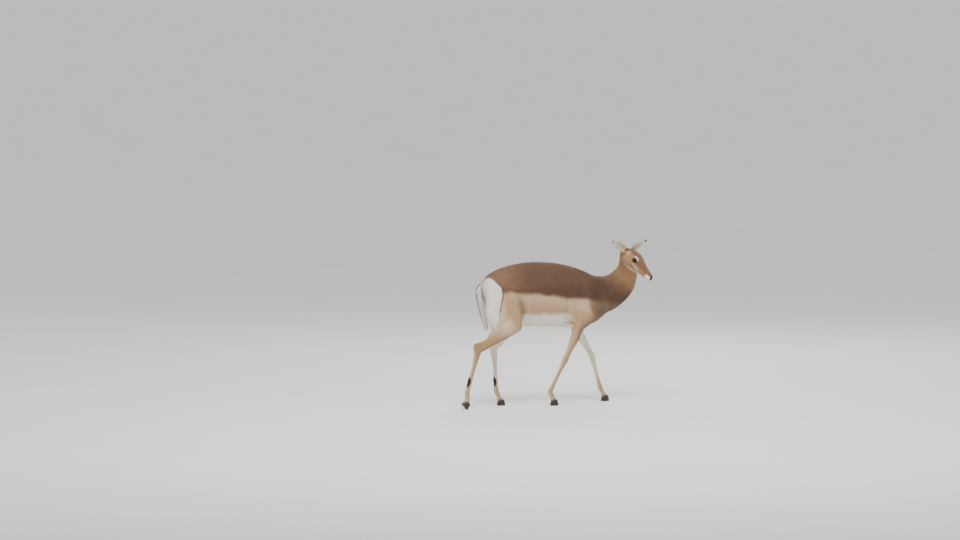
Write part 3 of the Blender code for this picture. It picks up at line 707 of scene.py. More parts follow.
# %% Sculpt
def sculpt(body):
    places = vertex_places(body.data)
    normals = vertex_normals(body.data)
    local = head_places(places)
    head = on_head(places)
    height = np.where(head, domes(mirrored(local), HEAD_FORMS) + mouth_groove(local), 0.0)
    for side in SIDES:
        height += np.where(head, 0.0, domes(places, body_forms(side)))
    height += ribs(places) + cannon_grooves(places)
    put_places(body.data, places + normals * height[:, None])


before = vertex_places(skin.data)
sculpt(skin)
print("deepest stroke", round(np.abs(vertex_places(skin.data) - before).max() * 1000, 1), "mm")

# %% [markdown]
# ## Lids
#
# An antelope's eye is a large ball that looks out to the side. The lids are skin drawn over that ball,
# with a pointed opening. Every vertex near the eye is moved along its own line from the ball's middle,
# out to just above the ball where there is lid, and well below its surface where the eye is open.

# %% Draw the lids over the eyes
GAZE = unit(np.array((0.3, 0.94, 0.14)))  # the way an eye looks, in the head's axes, left side
CORNERS = np.array((1.0, 0.0, -0.3))  # from the rear corner to the one by the nose
CORNERS = unit(CORNERS - GAZE * (CORNERS @ GAZE))
LID_UP = np.cross(CORNERS, GAZE)
EYE_HALF = 0.0136  # half the length of the opening
EYE_UP, EYE_DOWN = 0.0094, 0.0076
LID_THICK = 0.0013
LID_REACH = 0.032  # how far from the ball's middle the lids are drawn
LID_FOLD, FOLD_DEPTH = 0.0172, 0.001  # the crease over the upper lid
OPEN_DEPTH = 0.74  # of the ball's radius, where the skin lies behind an open eye
CORNER_SHAPE = 1.5  # how pointed the corners are


def eye_spread(along):
    """Half height of the opening above and below the middle, as a share, at a place along it."""
    return np.clip(1.0 - np.clip(np.abs(along) / EYE_HALF, 0.0, 1.0) ** 2, 0.0, 1.0) ** (1.0 / CORNER_SHAPE)


def opening(across, up):
    """0 in the middle of the opening and 1 on its rim."""
    tall = np.where(up > 0, EYE_UP, EYE_DOWN)
    return (across / EYE_HALF) ** 2 + np.abs(up / tall) ** CORNER_SHAPE


def draw_lids(body):
    places = vertex_places(body.data)
    head = on_head(places)
    local = head_places(places)
    for side in SIDES:
        turned = local * (1, side, 1) - EYE_PLACE
        far = np.linalg.norm(turned, axis=1)
        facing = turned @ GAZE
        across = turned @ CORNERS
        up = turned @ LID_UP
        near = head & (far < LID_REACH) & (facing > 0.0)
        lid = EYE_RADIUS + LID_THICK
        covered = 0.5 * (far + lid + np.sqrt((far - lid) ** 2 + 0.0015 ** 2))
        open_share = ramp(opening(across, up), 0.78, 1.02)
        reach = EYE_RADIUS * OPEN_DEPTH * (1.0 - open_share) + covered * open_share
        fold = (np.sqrt(across ** 2 + (up - 0.001) ** 2) - LID_FOLD) / 0.0013
        reach = reach - FOLD_DEPTH * np.exp(-fold ** 2) * (up > 0.002)
        blend = ramp(-far, -LID_REACH, -LID_REACH + 0.006) * ramp(facing, 0.0, 0.004)
        moved = far + (reach - far) * blend
        local[near] = ((turned / np.maximum(far, 1e-6)[:, None] * moved[:, None] + EYE_PLACE)
                       * (1, side, 1))[near]
    new = POLL + local @ HEAD_AXES.T
    put_places(body.data, np.where(head[:, None], new, places))


draw_lids(skin)
print("each eye opens", round(EYE_HALF * 2000, 1), "mm long")

# %% [markdown]
# ## Ears
#
# An ear is a leaf rolled into a cup, so it is lofted from its root to its tip: round the outside one way
# and back along the inside. The inside has three low ridges. Its foot is sunk in the head and a Boolean
# union makes it one with the skin.

# %% Make the ears
EAR_LENGTH = 0.142
EAR_WIDTH = 0.058
EAR_THICK = 0.0042
EAR_HAIR = 0.0009  # hair on each face of the ear
EAR_BEND = 0.01  # how far the middle of the ear bows back
EAR_RIDGE = 0.0009
EAR_REACH = 0.045  # nothing of an ear is farther from its line
EAR_ROOT = (0.02, 0.034, -0.012)
EAR_AIMS = {RIGHT: (0.86, 0.22, -0.46), LEFT: (0.85, 0.42, -0.1)}  # outward, upward, forward
EAR_LEAF = [(0.0, 0.27), (0.12, 0.34), (0.3, 0.46), (0.5, 0.5), (0.68, 0.44), (0.82, 0.31), (0.92, 0.18),
            (0.98, 0.08), (1.0, 0.045)]
EAR_ARC = 21  # points across each face of an ear
EAR_STEPS = 44  # rings from its root to its tip


def ear_cup(share):
    """Depth of the rolled leaf over its half width, at a share of its length."""
    return 0.95 - 0.45 * share


def ear_axes(side):
    """The ear's aim, the way its hollow faces, the direction across it, and its root."""
    out, up, ahead = EAR_AIMS[side]
    aim = unit(ASIDE * side * out + ABOVE * up + AHEAD * ahead)
    hollow = AHEAD + ABOVE * 0.35
    hollow = unit(hollow - aim * (hollow @ aim))
    return aim, hollow, np.cross(aim, hollow), head_point(EAR_ROOT[0], EAR_ROOT[1] * side, EAR_ROOT[2])


def ear_rings(side):
    aim, hollow, across, root = ear_axes(side)
    shares = np.linspace(0.0, 1.0, EAR_STEPS)
    leaf = np.array(EAR_LEAF)
    halves = np.interp(shares, leaf[:, 0], leaf[:, 1])
    halves = np.convolve(np.pad(halves, 2, mode="edge"), np.ones(5) / 5, mode="valid") * EAR_WIDTH
    arc = np.linspace(-0.5, 0.5, EAR_ARC) * math.pi
    rings = []
    for share, half in zip(shares, halves):
        cup = max(half * ear_cup(share), EAR_THICK * 0.75) - EAR_HAIR
        half = half - EAR_HAIR
        bend = EAR_BEND * math.sin(math.pi * share)
        place = root + aim * (share * EAR_LENGTH) - hollow * bend
        thick = min(EAR_THICK - 2 * EAR_HAIR, half * 0.9, cup * 0.9)
        thick = thick * (1.0 - 0.35 * share)
        ridge = EAR_RIDGE * math.sin(math.pi * min(share * 1.2, 1.0))
        ring = [place + across * (half * math.sin(angle)) - hollow * (cup * math.cos(angle)) for angle in arc]
        for angle in arc[::-1]:
            depth = (cup - thick) * math.cos(angle) - 0.0006 - ridge * (math.cos(angle * 7.0) + 1.0)
            ring.append(place + across * ((half - thick) * math.sin(angle)) - hollow * depth)
        rings.append(ring)
    return rings


print("an ear is", EAR_LENGTH, "m long")


# %% Join them on
def join_ear(body, side):
    mesh = bmesh.new()
    add_rings(mesh, ear_rings(side))
    ear = thing_of(mesh, "ear")
    union = body.modifiers.new("union", "BOOLEAN")
    union.operation = "UNION"
    union.object = ear
    union.solver = "MANIFOLD"
    apply_modifiers(body)
    bpy.data.objects.remove(ear)


for side in SIDES:
    join_ear(skin, side)


def ear_share(places, side):
    """How far along the ear a place is, from 0 at the root to 1 at the tip, and how far off its line."""
    aim, _, _, root = ear_axes(side)
    local = places - root
    along = local @ aim
    return along / EAR_LENGTH, np.linalg.norm(local - np.outer(along, aim), axis=1)


def ear_root_blend(places):
    """1 where an ear grows out of the head, fading away from there."""
    total = np.zeros(len(places))
    for side in SIDES:
        share, off = ear_share(places, side)
        total += ramp(share, 0.02, 0.08) * ramp(-share, -0.3, -0.16) * (off < 0.035)
    return np.clip(total, 0.0, 1.0)


relax(skin.data, 0.5 * ear_root_blend(vertex_places(skin.data)), 6)
print("skin with ears", len(skin.data.vertices), "vertices")

# %% [markdown]
# ## Which way the hair lies
#
# Hair points away from the nose: back over the head, down the neck, back and down along the trunk, and
# down the limbs. Each bone is given the way its hair points and how thick the flesh round it is, and a
# place on the skin takes a mix of the bones near it. The same bones unroll the skin, as a sausage's is
# unrolled, which gives every lock its own spot on a flat map.

# %% Bones and the lie of the coat
def chain(points, lie, girth, region, side=0):
    """Bones from point to point that share a region; lie None means along the bone."""
    result = []
    done = 0.0
    for start, end in zip(points, points[1:]):
        start, end = np.array(start, dtype=float), np.array(end, dtype=float)
        length = np.linalg.norm(end - start)
        way = unit(end - start) if lie is None else unit(np.array(lie))
        result.append(dict(start=start, end=end, way=way, girth=girth, region=region, side=side, done=done))
        done += length
    return result


def all_bones():
    bones = chain([(0.46, 0, 0.655), (0.3, 0, 0.665), (0.1, 0, 0.675), (-0.12, 0, 0.69), (-0.34, 0, 0.725)],
                  (-1.0, 0.0, -0.22), 0.105, "trunk")
    neck = [row[:3] for row in NECK[::-1]][:-2] + [(0.44, 0.0, 0.66)]
    bones += chain([head_point(0.0, 0.0, -0.045)] + neck, None, 0.055, "neck")
    bones += chain([head_point(along, 0.0, -0.045) for along in (0.262, 0.2, 0.13, 0.06, -0.005)],
                   None, 0.04, "head")
    bones += chain([(x, 0.0, z) for x, z, _, _ in TAIL], None, 0.014, "tail")
    for side in SIDES:
        fore, hind = FORE[side], HIND[side]
        croup, seat, stifle = hind["croup"], hind["seat"], hind["stifle"]
        upper_arm = (fore["point"] + fore["elbow"]) / 2
        blade = between(fore["top"], upper_arm, 0.55)
        bones += chain([blade, upper_arm + (0, 0, 0.06), fore["elbow"] + (0, 0, 0.02)], (-0.45, 0, -1.0),
                       0.05, "trunk", side)
        bones += chain([fore["elbow"], fore["carpus"], fore["fetlock"], fore["coronet"] - (0, 0, 0.02)], None,
                       0.022, "foreleg", side)
        bones += chain([croup, (croup + stifle) / 2, stifle], (-0.55, 0, -1.0), 0.065, "thigh", side)
        bones += chain([seat, between(seat, stifle, 0.65) + (-0.075, 0, -0.02)], (-0.25, 0, -1.0),
                       0.05, "thigh", side)
        bones += chain([stifle, hind["hock"], hind["fetlock"], hind["coronet"] - (0, 0, 0.02)], None,
                       0.022, "hindleg", side)
        aim, _, _, root = ear_axes(side)
        bones += chain([root + aim * 0.03, root + aim * EAR_LENGTH], None, 0.016, "ear", side)
    return bones


BONES = all_bones()
print(len(BONES), "bones guide the coat")


# %% Read the bones
def read_bones(places):
    """For each place: the way of the hair, the nearest bone, and how far along its chain it is."""
    total = np.zeros_like(places)
    nearest = np.full(len(places), np.inf)
    which = np.zeros(len(places), dtype=int)
    along_chain = np.zeros(len(places))
    for index, bone in enumerate(BONES):
        shaft = bone["end"] - bone["start"]
        length = np.linalg.norm(shaft)
        share = np.clip((places - bone["start"]) @ shaft / length**2, 0.0, 1.0)
        off = np.linalg.norm(places - bone["start"] - share[:, None] * shaft, axis=1) / bone["girth"]
        total += bone["way"] / (0.03 + off[:, None] ** 2) ** 3
        closer = off < nearest
        nearest[closer] = off[closer]
        which[closer] = index
        along_chain[closer] = bone["done"] + share[closer] * length
    return unit(total), which, along_chain


def lie_on(ways, normals):
    """The part of each way that runs along the skin."""
    flat = ways - normals * np.sum(ways * normals, axis=1, keepdims=True)
    return unit(flat + 1e-6)


def unrolled(places, which, along_chain):
    """Each place on the skin laid flat: angle round its bone, and distance along the chain."""
    angle = np.zeros(len(places))
    for index, bone in enumerate(BONES):
        here = which == index
        axis = unit(bone["end"] - bone["start"])
        lateral = unit(SIDEWAYS - axis * axis[1])
        local = places[here] - bone["start"]
        angle[here] = np.arctan2(local @ np.cross(axis, lateral), local @ lateral)
    return angle / (2 * math.pi) + 0.5, along_chain


print("hair on the hip points", read_bones(np.array([(-0.2, 0.1, 0.8)]))[0][0].round(2))

# %% [markdown]
# ## Where locks grow
#
# Locks are spread over the skin's triangles in proportion to area, so many to each square metre. The
# triangles are walked cell by cell and a lock is dropped each time the running total passes a whole
# number, which spaces them more evenly than throwing them at random. The generator's seed is fixed, so
# each run is the same.

# %% Scatter roots over the skin
CHANCE = np.random.default_rng(20)
SCATTER_CELL = 0.006


SKIN_PLACES = vertex_places(skin.data)
SKIN_NORMALS = vertex_normals(skin.data)
skin.data.calc_loop_triangles()
SKIN_CORNERS = rows_of(skin.data.loop_triangles, "vertices", 3, np.int32)
print(len(SKIN_CORNERS), "triangles to grow hair on")


def scatter(density):
    """Roots and normals on the skin; density maps triangle middles to locks per square metre."""
    corners = SKIN_PLACES[SKIN_CORNERS]
    area = np.linalg.norm(np.cross(corners[:, 1] - corners[:, 0], corners[:, 2] - corners[:, 0]), axis=1) / 2
    middles = corners.mean(axis=1)
    cells = np.floor(middles / SCATTER_CELL).astype(int)
    order = np.lexsort((cells[:, 2], cells[:, 1], cells[:, 0]))
    wanted = np.cumsum((area * density(middles))[order])
    count = np.diff(np.floor(wanted + CHANCE.random()), prepend=0.0).astype(int)
    chosen = np.repeat(order, count)
    first, second = CHANCE.random(len(chosen)), CHANCE.random(len(chosen))
    flip = first + second > 1.0
    first[flip], second[flip] = 1.0 - first[flip], 1.0 - second[flip]
    weights = np.stack([1.0 - first - second, first, second], axis=1)
    roots = np.einsum("nk,nkj->nj", weights, corners[chosen])
    normals = unit(np.einsum("nk,nkj->nj", weights, SKIN_NORMALS[SKIN_CORNERS[chosen]]))
    return roots, normals


def bare(places):
    """True on skin that carries no coat: eyes, nose pad, line of the mouth, and inside the hooves."""
    local = head_places(places)
    turned = mirrored(local) - EYE_PLACE
    eye = (opening(turned @ CORNERS, turned @ LID_UP) < 1.3) & (turned @ GAZE > 0)
    eye &= np.linalg.norm(turned, axis=1) < 0.03
    nose = (local[:, 0] > 0.2385) & (local[:, 2] > -0.0525)
    mouth = (np.abs(local[:, 2] - mouth_height(local[:, 0])) < 0.0016) & (local[:, 0] > MOUTH_BACK + 0.002)
    feet = places[:, 2] < CORONET_HEIGHT - 0.001
    return (on_head(places) & (eye | nose | mouth)) | feet


# %% [markdown]
# ## The shape of a lock
#
# A lock is a thin closed spike with a low ridge, three corners round, that starts just under the skin,
# rises a little and narrows to a point. Two rings and a tip make ten triangles, and long hair gets more
# rings. All the locks of a piece are worked out together as arrays and written as one mesh.
#
# Real hair is far finer than a lock, and a coat lit lock by lock would glitter. So each upper side takes
# the light mostly as the skin below it does. Its rim is marked sharp, for without that mark Blender's
# renderer keeps one normal for each vertex, and the dark undersides would show through the coat.

# %% Build many locks as one mesh
UV_PATCH = 0.003
LOCK_RIDGE = 0.2  # height of a lock over its width
SLEEK = 0.72  # how far a lock is lit like the skin that it lies on
BURIED = 0.0006


def take_light(data, corners, facing, per_lock):
    """Light the upper sides mostly as the skin below them is, and the undersides as facing the skin."""
    places = vertex_places(data)
    first, second, third = (places[corners[k::3]] for k in range(3))
    own = unit(np.cross(second - first, third - first))
    upper = np.sum(own * facing[corners[::3]], axis=1) > 0.1
    sleek = unit(vertex_normals(data) * (1.0 - SLEEK) + facing * SLEEK)
    lit = np.where(np.repeat(upper, 3)[:, None], sleek[corners], -facing[corners])
    write_field(data, "custom_normal", lit, "CORNER")
    start, end = (np.sort(edge_ends(data), axis=1) % per_lock).T
    rim = (start % 3 != 1) & ((end - start == 3) | ((end == per_lock - 1) & (start >= per_lock - 4)))
    write_field(data, "sharp_edge", rim, "EDGE")


def lock_mesh(name, roots, normals, lies, length, width, lift, flat_map, tone, inner, rings=2):
    """One mesh of closed locks; length, width, lift, tone and inner have one value for each lock."""
    count = len(roots)
    across = np.cross(lies, normals)
    places = []
    for share in np.linspace(0.0, 1.0, rings + 1):
        middle = roots + lies * (length * share)[:, None] + normals * (lift * share**1.3 - BURIED)[:, None]
        if share == 1.0:
            places.append(middle)
            continue
        half = width * 0.5 * (0.7 + 0.3 * math.sin(math.pi * (share + 0.15)) if share < 0.6 else 0.75)
        ridge = normals * (half * 2 * LOCK_RIDGE)[:, None]
        places += [middle - across * half[:, None], middle + ridge, middle + across * half[:, None]]
    per_lock = len(places)
    reaches = np.append(np.repeat(np.linspace(0.0, 1.0, rings + 1)[:-1], 3), 1.0)
    sides = np.append(np.tile((-0.5, 0.0, 0.5), rings), 0.0)
    places = np.stack(places, axis=1).reshape(-1, 3)
    faces = [(0, 2, 1)]
    for ring in range(rings - 1):
        for a, b in ((0, 1), (1, 2), (2, 0)):
            near_a, near_b = 3 * ring + a, 3 * ring + b
            faces += [(near_a, near_b, near_b + 3), (near_a, near_b + 3, near_a + 3)]
    last = 3 * (rings - 1)
    faces += [(last + a, last + b, per_lock - 1) for a, b in ((0, 1), (1, 2), (2, 0))]
    faces = np.array(faces)
    corners = (faces[None] + (np.arange(count) * per_lock)[:, None, None]).reshape(-1).astype(np.int32)
    data = bpy.data.meshes.new(name)
    data.vertices.add(len(places))
    data.vertices.foreach_set("co", places.ravel())
    data.loops.add(len(corners))
    data.loops.foreach_set("vertex_index", corners)
    data.polygons.add(len(corners) // 3)
    data.polygons.foreach_set("loop_start", np.arange(0, len(corners), 3, dtype=np.int32))
    data.update(calc_edges=True)
    data.shade_smooth()
    patch = np.stack([sides, reaches - 0.5], axis=1) * UV_PATCH
    flat = (flat_map[:, None] + patch[None]).reshape(-1, 2)[corners]
    layer = data.uv_layers.new(name="OFBake")
    layer.data.foreach_set("uv", flat.astype(np.float32).ravel())
    write_field(data, "tone", np.repeat(tone, per_lock))
    write_field(data, "reach", np.tile(reaches, count))
    write_field(data, "inner", np.repeat(inner, per_lock))
    facing = np.repeat(normals, per_lock, axis=0)
    write_field(data, "facing", facing)
    take_light(data, corners, facing, per_lock)
    thing = bpy.data.objects.new(name, data)
    bpy.context.collection.objects.link(thing)
    return thing


def inside_ear(places, normals):
    """1 on the hollow side of an ear, 0 elsewhere."""
    result = np.zeros(len(places))
    for side in SIDES:
        _, hollow, _, _ = ear_axes(side)
        share, off = ear_share(places, side)
        result = np.maximum(result, (share > 0.03) * (off < EAR_REACH) * ramp(normals @ hollow, 0.05, 0.35))
    return result


print("a lock takes", UV_PATCH, "of its map")


# %% [markdown]
# ## How long, how dense
#
# Impala hair is short and sleek. It is longest on the back and the rump, and becomes very short down
# the legs and towards the nose. Density rises as the locks get smaller, so that they lie about two deep
# everywhere.

# %% Length and density of the coat
def coat_length(places):
    """Length of a lock at each place."""
    length = np.interp(places[:, 2], (0.035, 0.055, 0.07, 0.12, 0.36, 0.5, 0.6),
                       (0.0092, 0.0075, 0.0065, 0.0085, 0.0095, 0.0135, 0.015))
    length = length - 0.0008 * ramp(places[:, 0], 0.42, 0.52)
    length = length + 0.003 * ramp(-places[:, 0], 0.33, 0.38) * (places[:, 2] > 0.55)
    along = head_places(places)[:, 0]
    face = np.interp(along, (-0.02, 0.05, 0.12, 0.2, 0.24), (0.012, 0.0078, 0.006, 0.0042, 0.0034))
    length = np.where(on_head(places), face, length)
    for side in SIDES:
        share, off = ear_share(places, side)
        length = np.where((share > 0.0) & (off < EAR_REACH), 0.0048, length)
    return length


LOCK_WIDTH = 0.155  # of its length
COVER = 2.1  # how many locks deep the coat is
MOST_LOCKS = 420000.0  # for a square metre
SWAY = 0.16  # how far a lock strays from the lie, across over along
EAR_SWAY = 0.4  # of that, on the sleek ears


def coat_density(places):
    length = coat_length(places)
    dense = np.minimum(COVER / (length * length * LOCK_WIDTH), MOST_LOCKS)
    return np.where(bare(places), 0.0, dense)


def combed(roots, normals):
    """The lie of each lock, with a little disorder."""
    ways, which, along_chain = read_bones(roots)
    lies = lie_on(ways, normals)
    across = np.cross(lies, normals)
    on_ear = np.array([bone["region"] == "ear" for bone in BONES])[which]
    sway = CHANCE.normal(0.0, SWAY, len(roots)) + 0.1 * np.sin(roots @ np.array((37.0, 23.0, 31.0)))
    sway = np.where(on_ear, sway * EAR_SWAY, sway)
    return unit(lies + across * sway[:, None]), which, along_chain


roots, normals = scatter(coat_density)
lies, which, along_chain = combed(roots, normals)
print(len(roots), "locks in the coat")

# %% [markdown]
# ## Shader maths as plain sums
#
# A material's node tree is easier to read as arithmetic. Value wraps a socket that carries a number and
# turns each operator into a Math node. Finish holds one material and adds every other node through one
# method, which takes the node's type, its settings and what goes into its sockets.

# %% Value
def math_node(operation):
    """A method of Value that joins it with another by one operation."""
    return lambda value, other: value.maths(operation, other)


class Value:
    """A number that varies over a surface. Sums with it add Math nodes."""

    def __init__(self, finish, socket):
        self.finish = finish
        self.socket = socket

    def maths(self, operation, *others):
        node = self.finish.add("ShaderNodeMath", dict(operation=operation), dict(enumerate((self, *others))))
        return Value(self.finish, node.outputs[0])

    __add__ = __radd__ = math_node("ADD")
    __sub__ = math_node("SUBTRACT")
    __mul__ = __rmul__ = math_node("MULTIPLY")
    __truediv__ = math_node("DIVIDE")
    least = math_node("MINIMUM")
    most = math_node("MAXIMUM")

    def __rsub__(self, other):
        return (self * -1.0).maths("ADD", other)

    def __abs__(self):
        return self.maths("ABSOLUTE")

    def fade(self, low, high):
        """A mask that rises smoothly from 0 where the value is low to 1 where it is high."""
        node = self.finish.add("ShaderNodeMapRange", dict(interpolation_type="SMOOTHSTEP"),
                               {"Value": self, "From Min": low, "From Max": high})
        return Value(self.finish, node.outputs["Result"])


# %% Finish
class Finish:
    """One material, its shader and a short way to add nodes to it."""

    def __init__(self, name, roughness, **constants):
        self.material = bpy.data.materials.new(name)
        self.material.use_nodes = True
        self.tree = self.material.node_tree
        self.shader = self.tree.nodes["Principled BSDF"]
        self.shader.inputs["Roughness"].default_value = roughness
        for label, value in constants.items():
            self.shader.inputs[label.replace("_", " ").title().replace("Ior", "IOR")].default_value = value

    def add(self, kind, settings=None, sockets=None):
        node = self.tree.nodes.new(kind)
        for label, value in (settings or {}).items():
            setattr(node, label, value)
        for label, value in (sockets or {}).items():
            self.feed(node.inputs[label], value)
        return node

    def feed(self, socket, value):
        if isinstance(value, Value):
            value = value.socket
        if isinstance(value, bpy.types.NodeSocket):
            self.tree.links.new(value, socket)
        else:
            socket.default_value = value

    def attribute(self, label):
        node = self.add("ShaderNodeAttribute", dict(attribute_name=label))
        return Value(self, node.outputs["Fac"])

    def ways(self, label):
        """An attribute that holds a direction."""
        return self.add("ShaderNodeAttribute", dict(attribute_name=label)).outputs["Vector"]

    def vectors(self, operation, first, second, output=0):
        """Vector Math on two vectors."""
        node = self.add("ShaderNodeVectorMath", dict(operation=operation), {0: first, 1: second})
        return node.outputs[output]

    def own_place(self):
        """The place in the piece's own axes."""
        return self.add("ShaderNodeTexCoord").outputs["Object"]

    def place(self):
        """The place on the model, in the body's own axes."""
        return self.vectors("ADD", self.own_place(), tuple(ORIGIN))

    def parts(self, vector):
        node = self.add("ShaderNodeSeparateXYZ", None, {0: vector})
        return [Value(self, socket) for socket in node.outputs]

    def along(self, vector, axis, base=(0.0, 0.0, 0.0)):
        """How far a place is along an axis, measured from a base."""
        dot = self.vectors("DOT_PRODUCT", vector, tuple(axis), "Value")
        return Value(self, dot) - float(np.dot(base, axis))

    def distance(self, vector, point):
        return Value(self, self.vectors("DISTANCE", vector, tuple(point), "Value"))

    def nearer(self, vector, points):
        """Distance to the nearer of two places."""
        first, second = (self.distance(vector, point) for point in points)
        return first.least(second)

    def noise(self, vector, scale, detail=2.0, roughness=0.5):
        """Noise from 0 to 1."""
        node = self.add("ShaderNodeTexNoise", None,
                        {"Vector": vector, "Scale": scale, "Detail": detail, "Roughness": roughness})
        return Value(self, node.outputs[0])

    def blend(self, mask, under, over, mode="MIX"):
        """The colour over laid on the colour under where the mask is 1."""
        settings = dict(data_type="RGBA", blend_type=mode)
        return self.add("ShaderNodeMix", settings, {0: mask, 6: under, 7: over}).outputs[2]

    def shade(self, mask, colour, strength):
        """Darken a colour where the mask is 1, to this share of itself."""
        warm = (strength * 1.04, strength, strength * 0.94, 1.0)
        return self.blend(mask, colour, warm, "MULTIPLY")

    def bump(self, height, strength, distance):
        sockets = {"Strength": strength, "Distance": distance, "Height": height}
        self.feed(self.shader.inputs["Normal"], self.add("ShaderNodeBump", None, sockets).outputs[0])

    def colour(self, value):
        self.feed(self.shader.inputs["Base Color"], value)


def paint(red, green, blue):
    """A colour given as it looks on a screen, from 0 to 255, turned into light."""
    return tuple(((value / 255 + 0.055) / 1.055) ** 2.4 for value in (red, green, blue)) + (1.0,)


print("white paint gives back", round(paint(240, 234, 222)[1], 2), "of the light")

# %% [markdown]
# ## The coat's markings
#
# An impala wears two browns with a clear edge: a rich red-brown saddle over the back, and light fawn
# on the flanks. The belly, throat, lips, rings over the eyes and the rump are white. Thin black lines
# run down the back, down each haunch and down the tail, and black tufts sit above the hind fetlocks.
# The colours are laid one over another, as a sign painter would, through masks that are worked out
# from the place on the body. The skin and every lock read the same masks, so they agree.

# %% The paints and where they end
SADDLE = paint(98, 70, 50)
RUSSET = paint(140, 104, 75)
UMBER = paint(78, 53, 38)
FAWN = paint(200, 171, 139)
SAND = paint(188, 154, 117)
TAN = paint(162, 122, 83)
EARTH = paint(100, 79, 61)
# pale fawn for the painted highlight on the upper arm
PAINTED_HIGHLIGHT = paint(206, 178, 152)
WHITE = paint(240, 234, 222)
CREAM = paint(222, 205, 180)
BLACK = paint(36, 30, 27)
CROWN = paint(104, 68, 45)
EAR_PINK = paint(200, 174, 156)
SADDLE_EDGE = 0.68  # height of the saddle's lower edge
BELLY_EDGE = 0.572  # height of the belly's upper edge
RUMP_EDGE = -0.302  # how far forward the white of the rump comes
RUMP_SLOPES = {LEFT: 0.35, RIGHT: -0.26}  # and how it then follows each thigh down
STRIDE = 0.28  # how far the left thigh swings forward for each metre down from the hip
HIP_HEIGHT = 0.75
TAIL_BACK = (-0.417, 0.715, 0.2)  # the tail's middle: forward, at a height, and its slope below
CANNONS = {side: unit(HIND[side]["hock"] - HIND[side]["fetlock"]) for side in SIDES}
GLAND_PLACES = {side: between(HIND[side]["fetlock"], HIND[side]["hock"], 0.26) for side in SIDES}
print("glands", round(GLAND_PLACES[LEFT][2] * 100), "cm above the floor")


# %% Where a place is on her
class Spot:
    """Where a shaded place is on the animal, as Values, and the colour that is laid there so far."""

    def __init__(self, finish):
        self.finish = finish
        self.colour = FAWN
        self.place = finish.place()
        self.x, self.y, self.z = finish.parts(self.place)
        self.out = abs(self.y)
        self.left = self.y.fade(-0.01, 0.01)
        self.thigh = self.x - self.left * STRIDE * (HIP_HEIGHT - self.z).most(0.0)  # x, stride undone
        self.facing = finish.ways("facing")
        self.ahead, across, self.upward = finish.parts(self.facing)
        self.outward = across * (self.y.fade(-0.004, 0.004) * 2.0 - 1.0)
        self.wander = finish.noise(self.place, 9.0, 3.0) - 0.5
        self.drift = finish.noise(self.place, 4.5, 2.0) - 0.5
        self.fine = finish.noise(self.place, 60.0, 2.0) - 0.5
        self.ragged = self.wander * 0.03 + self.fine * 0.012
        self.along = finish.along(self.place, AHEAD, POLL)
        self.up = finish.along(self.place, ABOVE, POLL)
        self.aside = abs(finish.along(self.place, ASIDE, POLL))
        self.inner = finish.attribute("inner")
        self.neck = finish.along(self.place, (0.82, 0.0, 0.57), (0.5, 0.0, 0.77))  # along the neck
        head = (self.along + self.up * 0.3).fade(-0.035, 0.005) * self.neck.fade(0.02, 0.06)
        self.head = head * self.up.fade(-0.125, -0.108)

    def lay(self, mask, colour):
        """Lay a colour over what is there, where the mask is 1."""
        self.colour = self.finish.blend(mask, self.colour, colour)

    def flanks(self, x, y, z):
        """Distance to the nearer of a pair of places on the body."""
        return self.finish.nearer(self.place, [(x, -y, z), (x, y, z)])

    def cheeks(self, along, out, up):
        """Distance to the nearer of a pair of places on the head."""
        return self.finish.nearer(self.place, [head_point(along, out, up), head_point(along, -out, up)])


# %% Saddle, flank and neck
def paint_trunk(spot):
    """Flank, shoulder and thigh, and over them the saddle, reddest behind and darkest low in front."""
    x, z, ragged, wander, drift = spot.x, spot.z, spot.ragged, spot.wander, spot.drift
    edge = SADDLE_EDGE - 0.045 * ((x - 0.05) * 2.6).least(1.2).most(-1.0)
    above = z - edge + ragged + drift * 0.035
    # darker sand low on the flank: partly the coat's own tone, partly painted shade where the flank turns
    # under
    spot.lay((above + wander * 0.03).fade(-0.02, -0.09), SAND)
    thigh = (spot.thigh + 0.3 * (z - 0.6) + ragged + drift * 0.06).fade(-0.09, -0.21)
    spot.lay(thigh * 0.9, SAND)
    pale = (spot.thigh + ragged + drift * 0.05 + 0.4 * (z - 0.62)).fade(-0.255, -0.335) * z.fade(0.4, 0.52)
    spot.lay(pale * 0.8, CREAM)
    # painted shade along the crease where the thigh meets the flank, over the thigh's own browner front edge
    fold = 1.0 - abs(spot.thigh + 0.165 + 0.3 * (z - 0.6) + wander * 0.05).fade(0.0, 0.05)
    spot.lay(fold * above.fade(0.0, -0.05) * z.fade(0.45, 0.52) * 0.55, EARTH)
    slant = x + 0.42 * (z - 0.6) + wander * 0.07 + drift * 0.08
    spot.lay(slant.fade(0.205, 0.33), TAN)
    breast = (slant + spot.fine * 0.02).fade(0.25, 0.345) * (spot.neck + wander * 0.04).fade(0.1, -0.04)
    spot.lay(breast * 0.8, EARTH)
    # painted highlight: a pale patch where light falls on the upper arm above the elbow
    elbow_highlight = spot.flanks(0.255, 0.085, 0.625) + wander * 0.06 + drift * 0.05
    spot.lay(elbow_highlight.fade(0.075, 0.015) * 0.75, PAINTED_HIGHLIGHT)
    saddle = above.fade(-0.016, 0.02) * (spot.neck * 0.6 + z * 0.4 + wander * 0.05).fade(0.335, 0.235)
    spot.lay(saddle, SADDLE)
    rear = (x + wander * 0.1).fade(-0.08, -0.33) * (z + wander * 0.05).fade(0.7, 0.78)
    spot.lay(saddle * rear * 0.75, RUSSET)
    low = (above + drift * 0.05).fade(0.115, 0.03) * (x + wander * 0.08).fade(-0.18, 0.06)
    spot.lay(saddle * low * 0.6, UMBER)
    neck_root = spot.flanks(0.38, 0.065, 0.725) + wander * 0.08
    spot.lay(neck_root.fade(0.115, 0.02) * 0.8, UMBER)


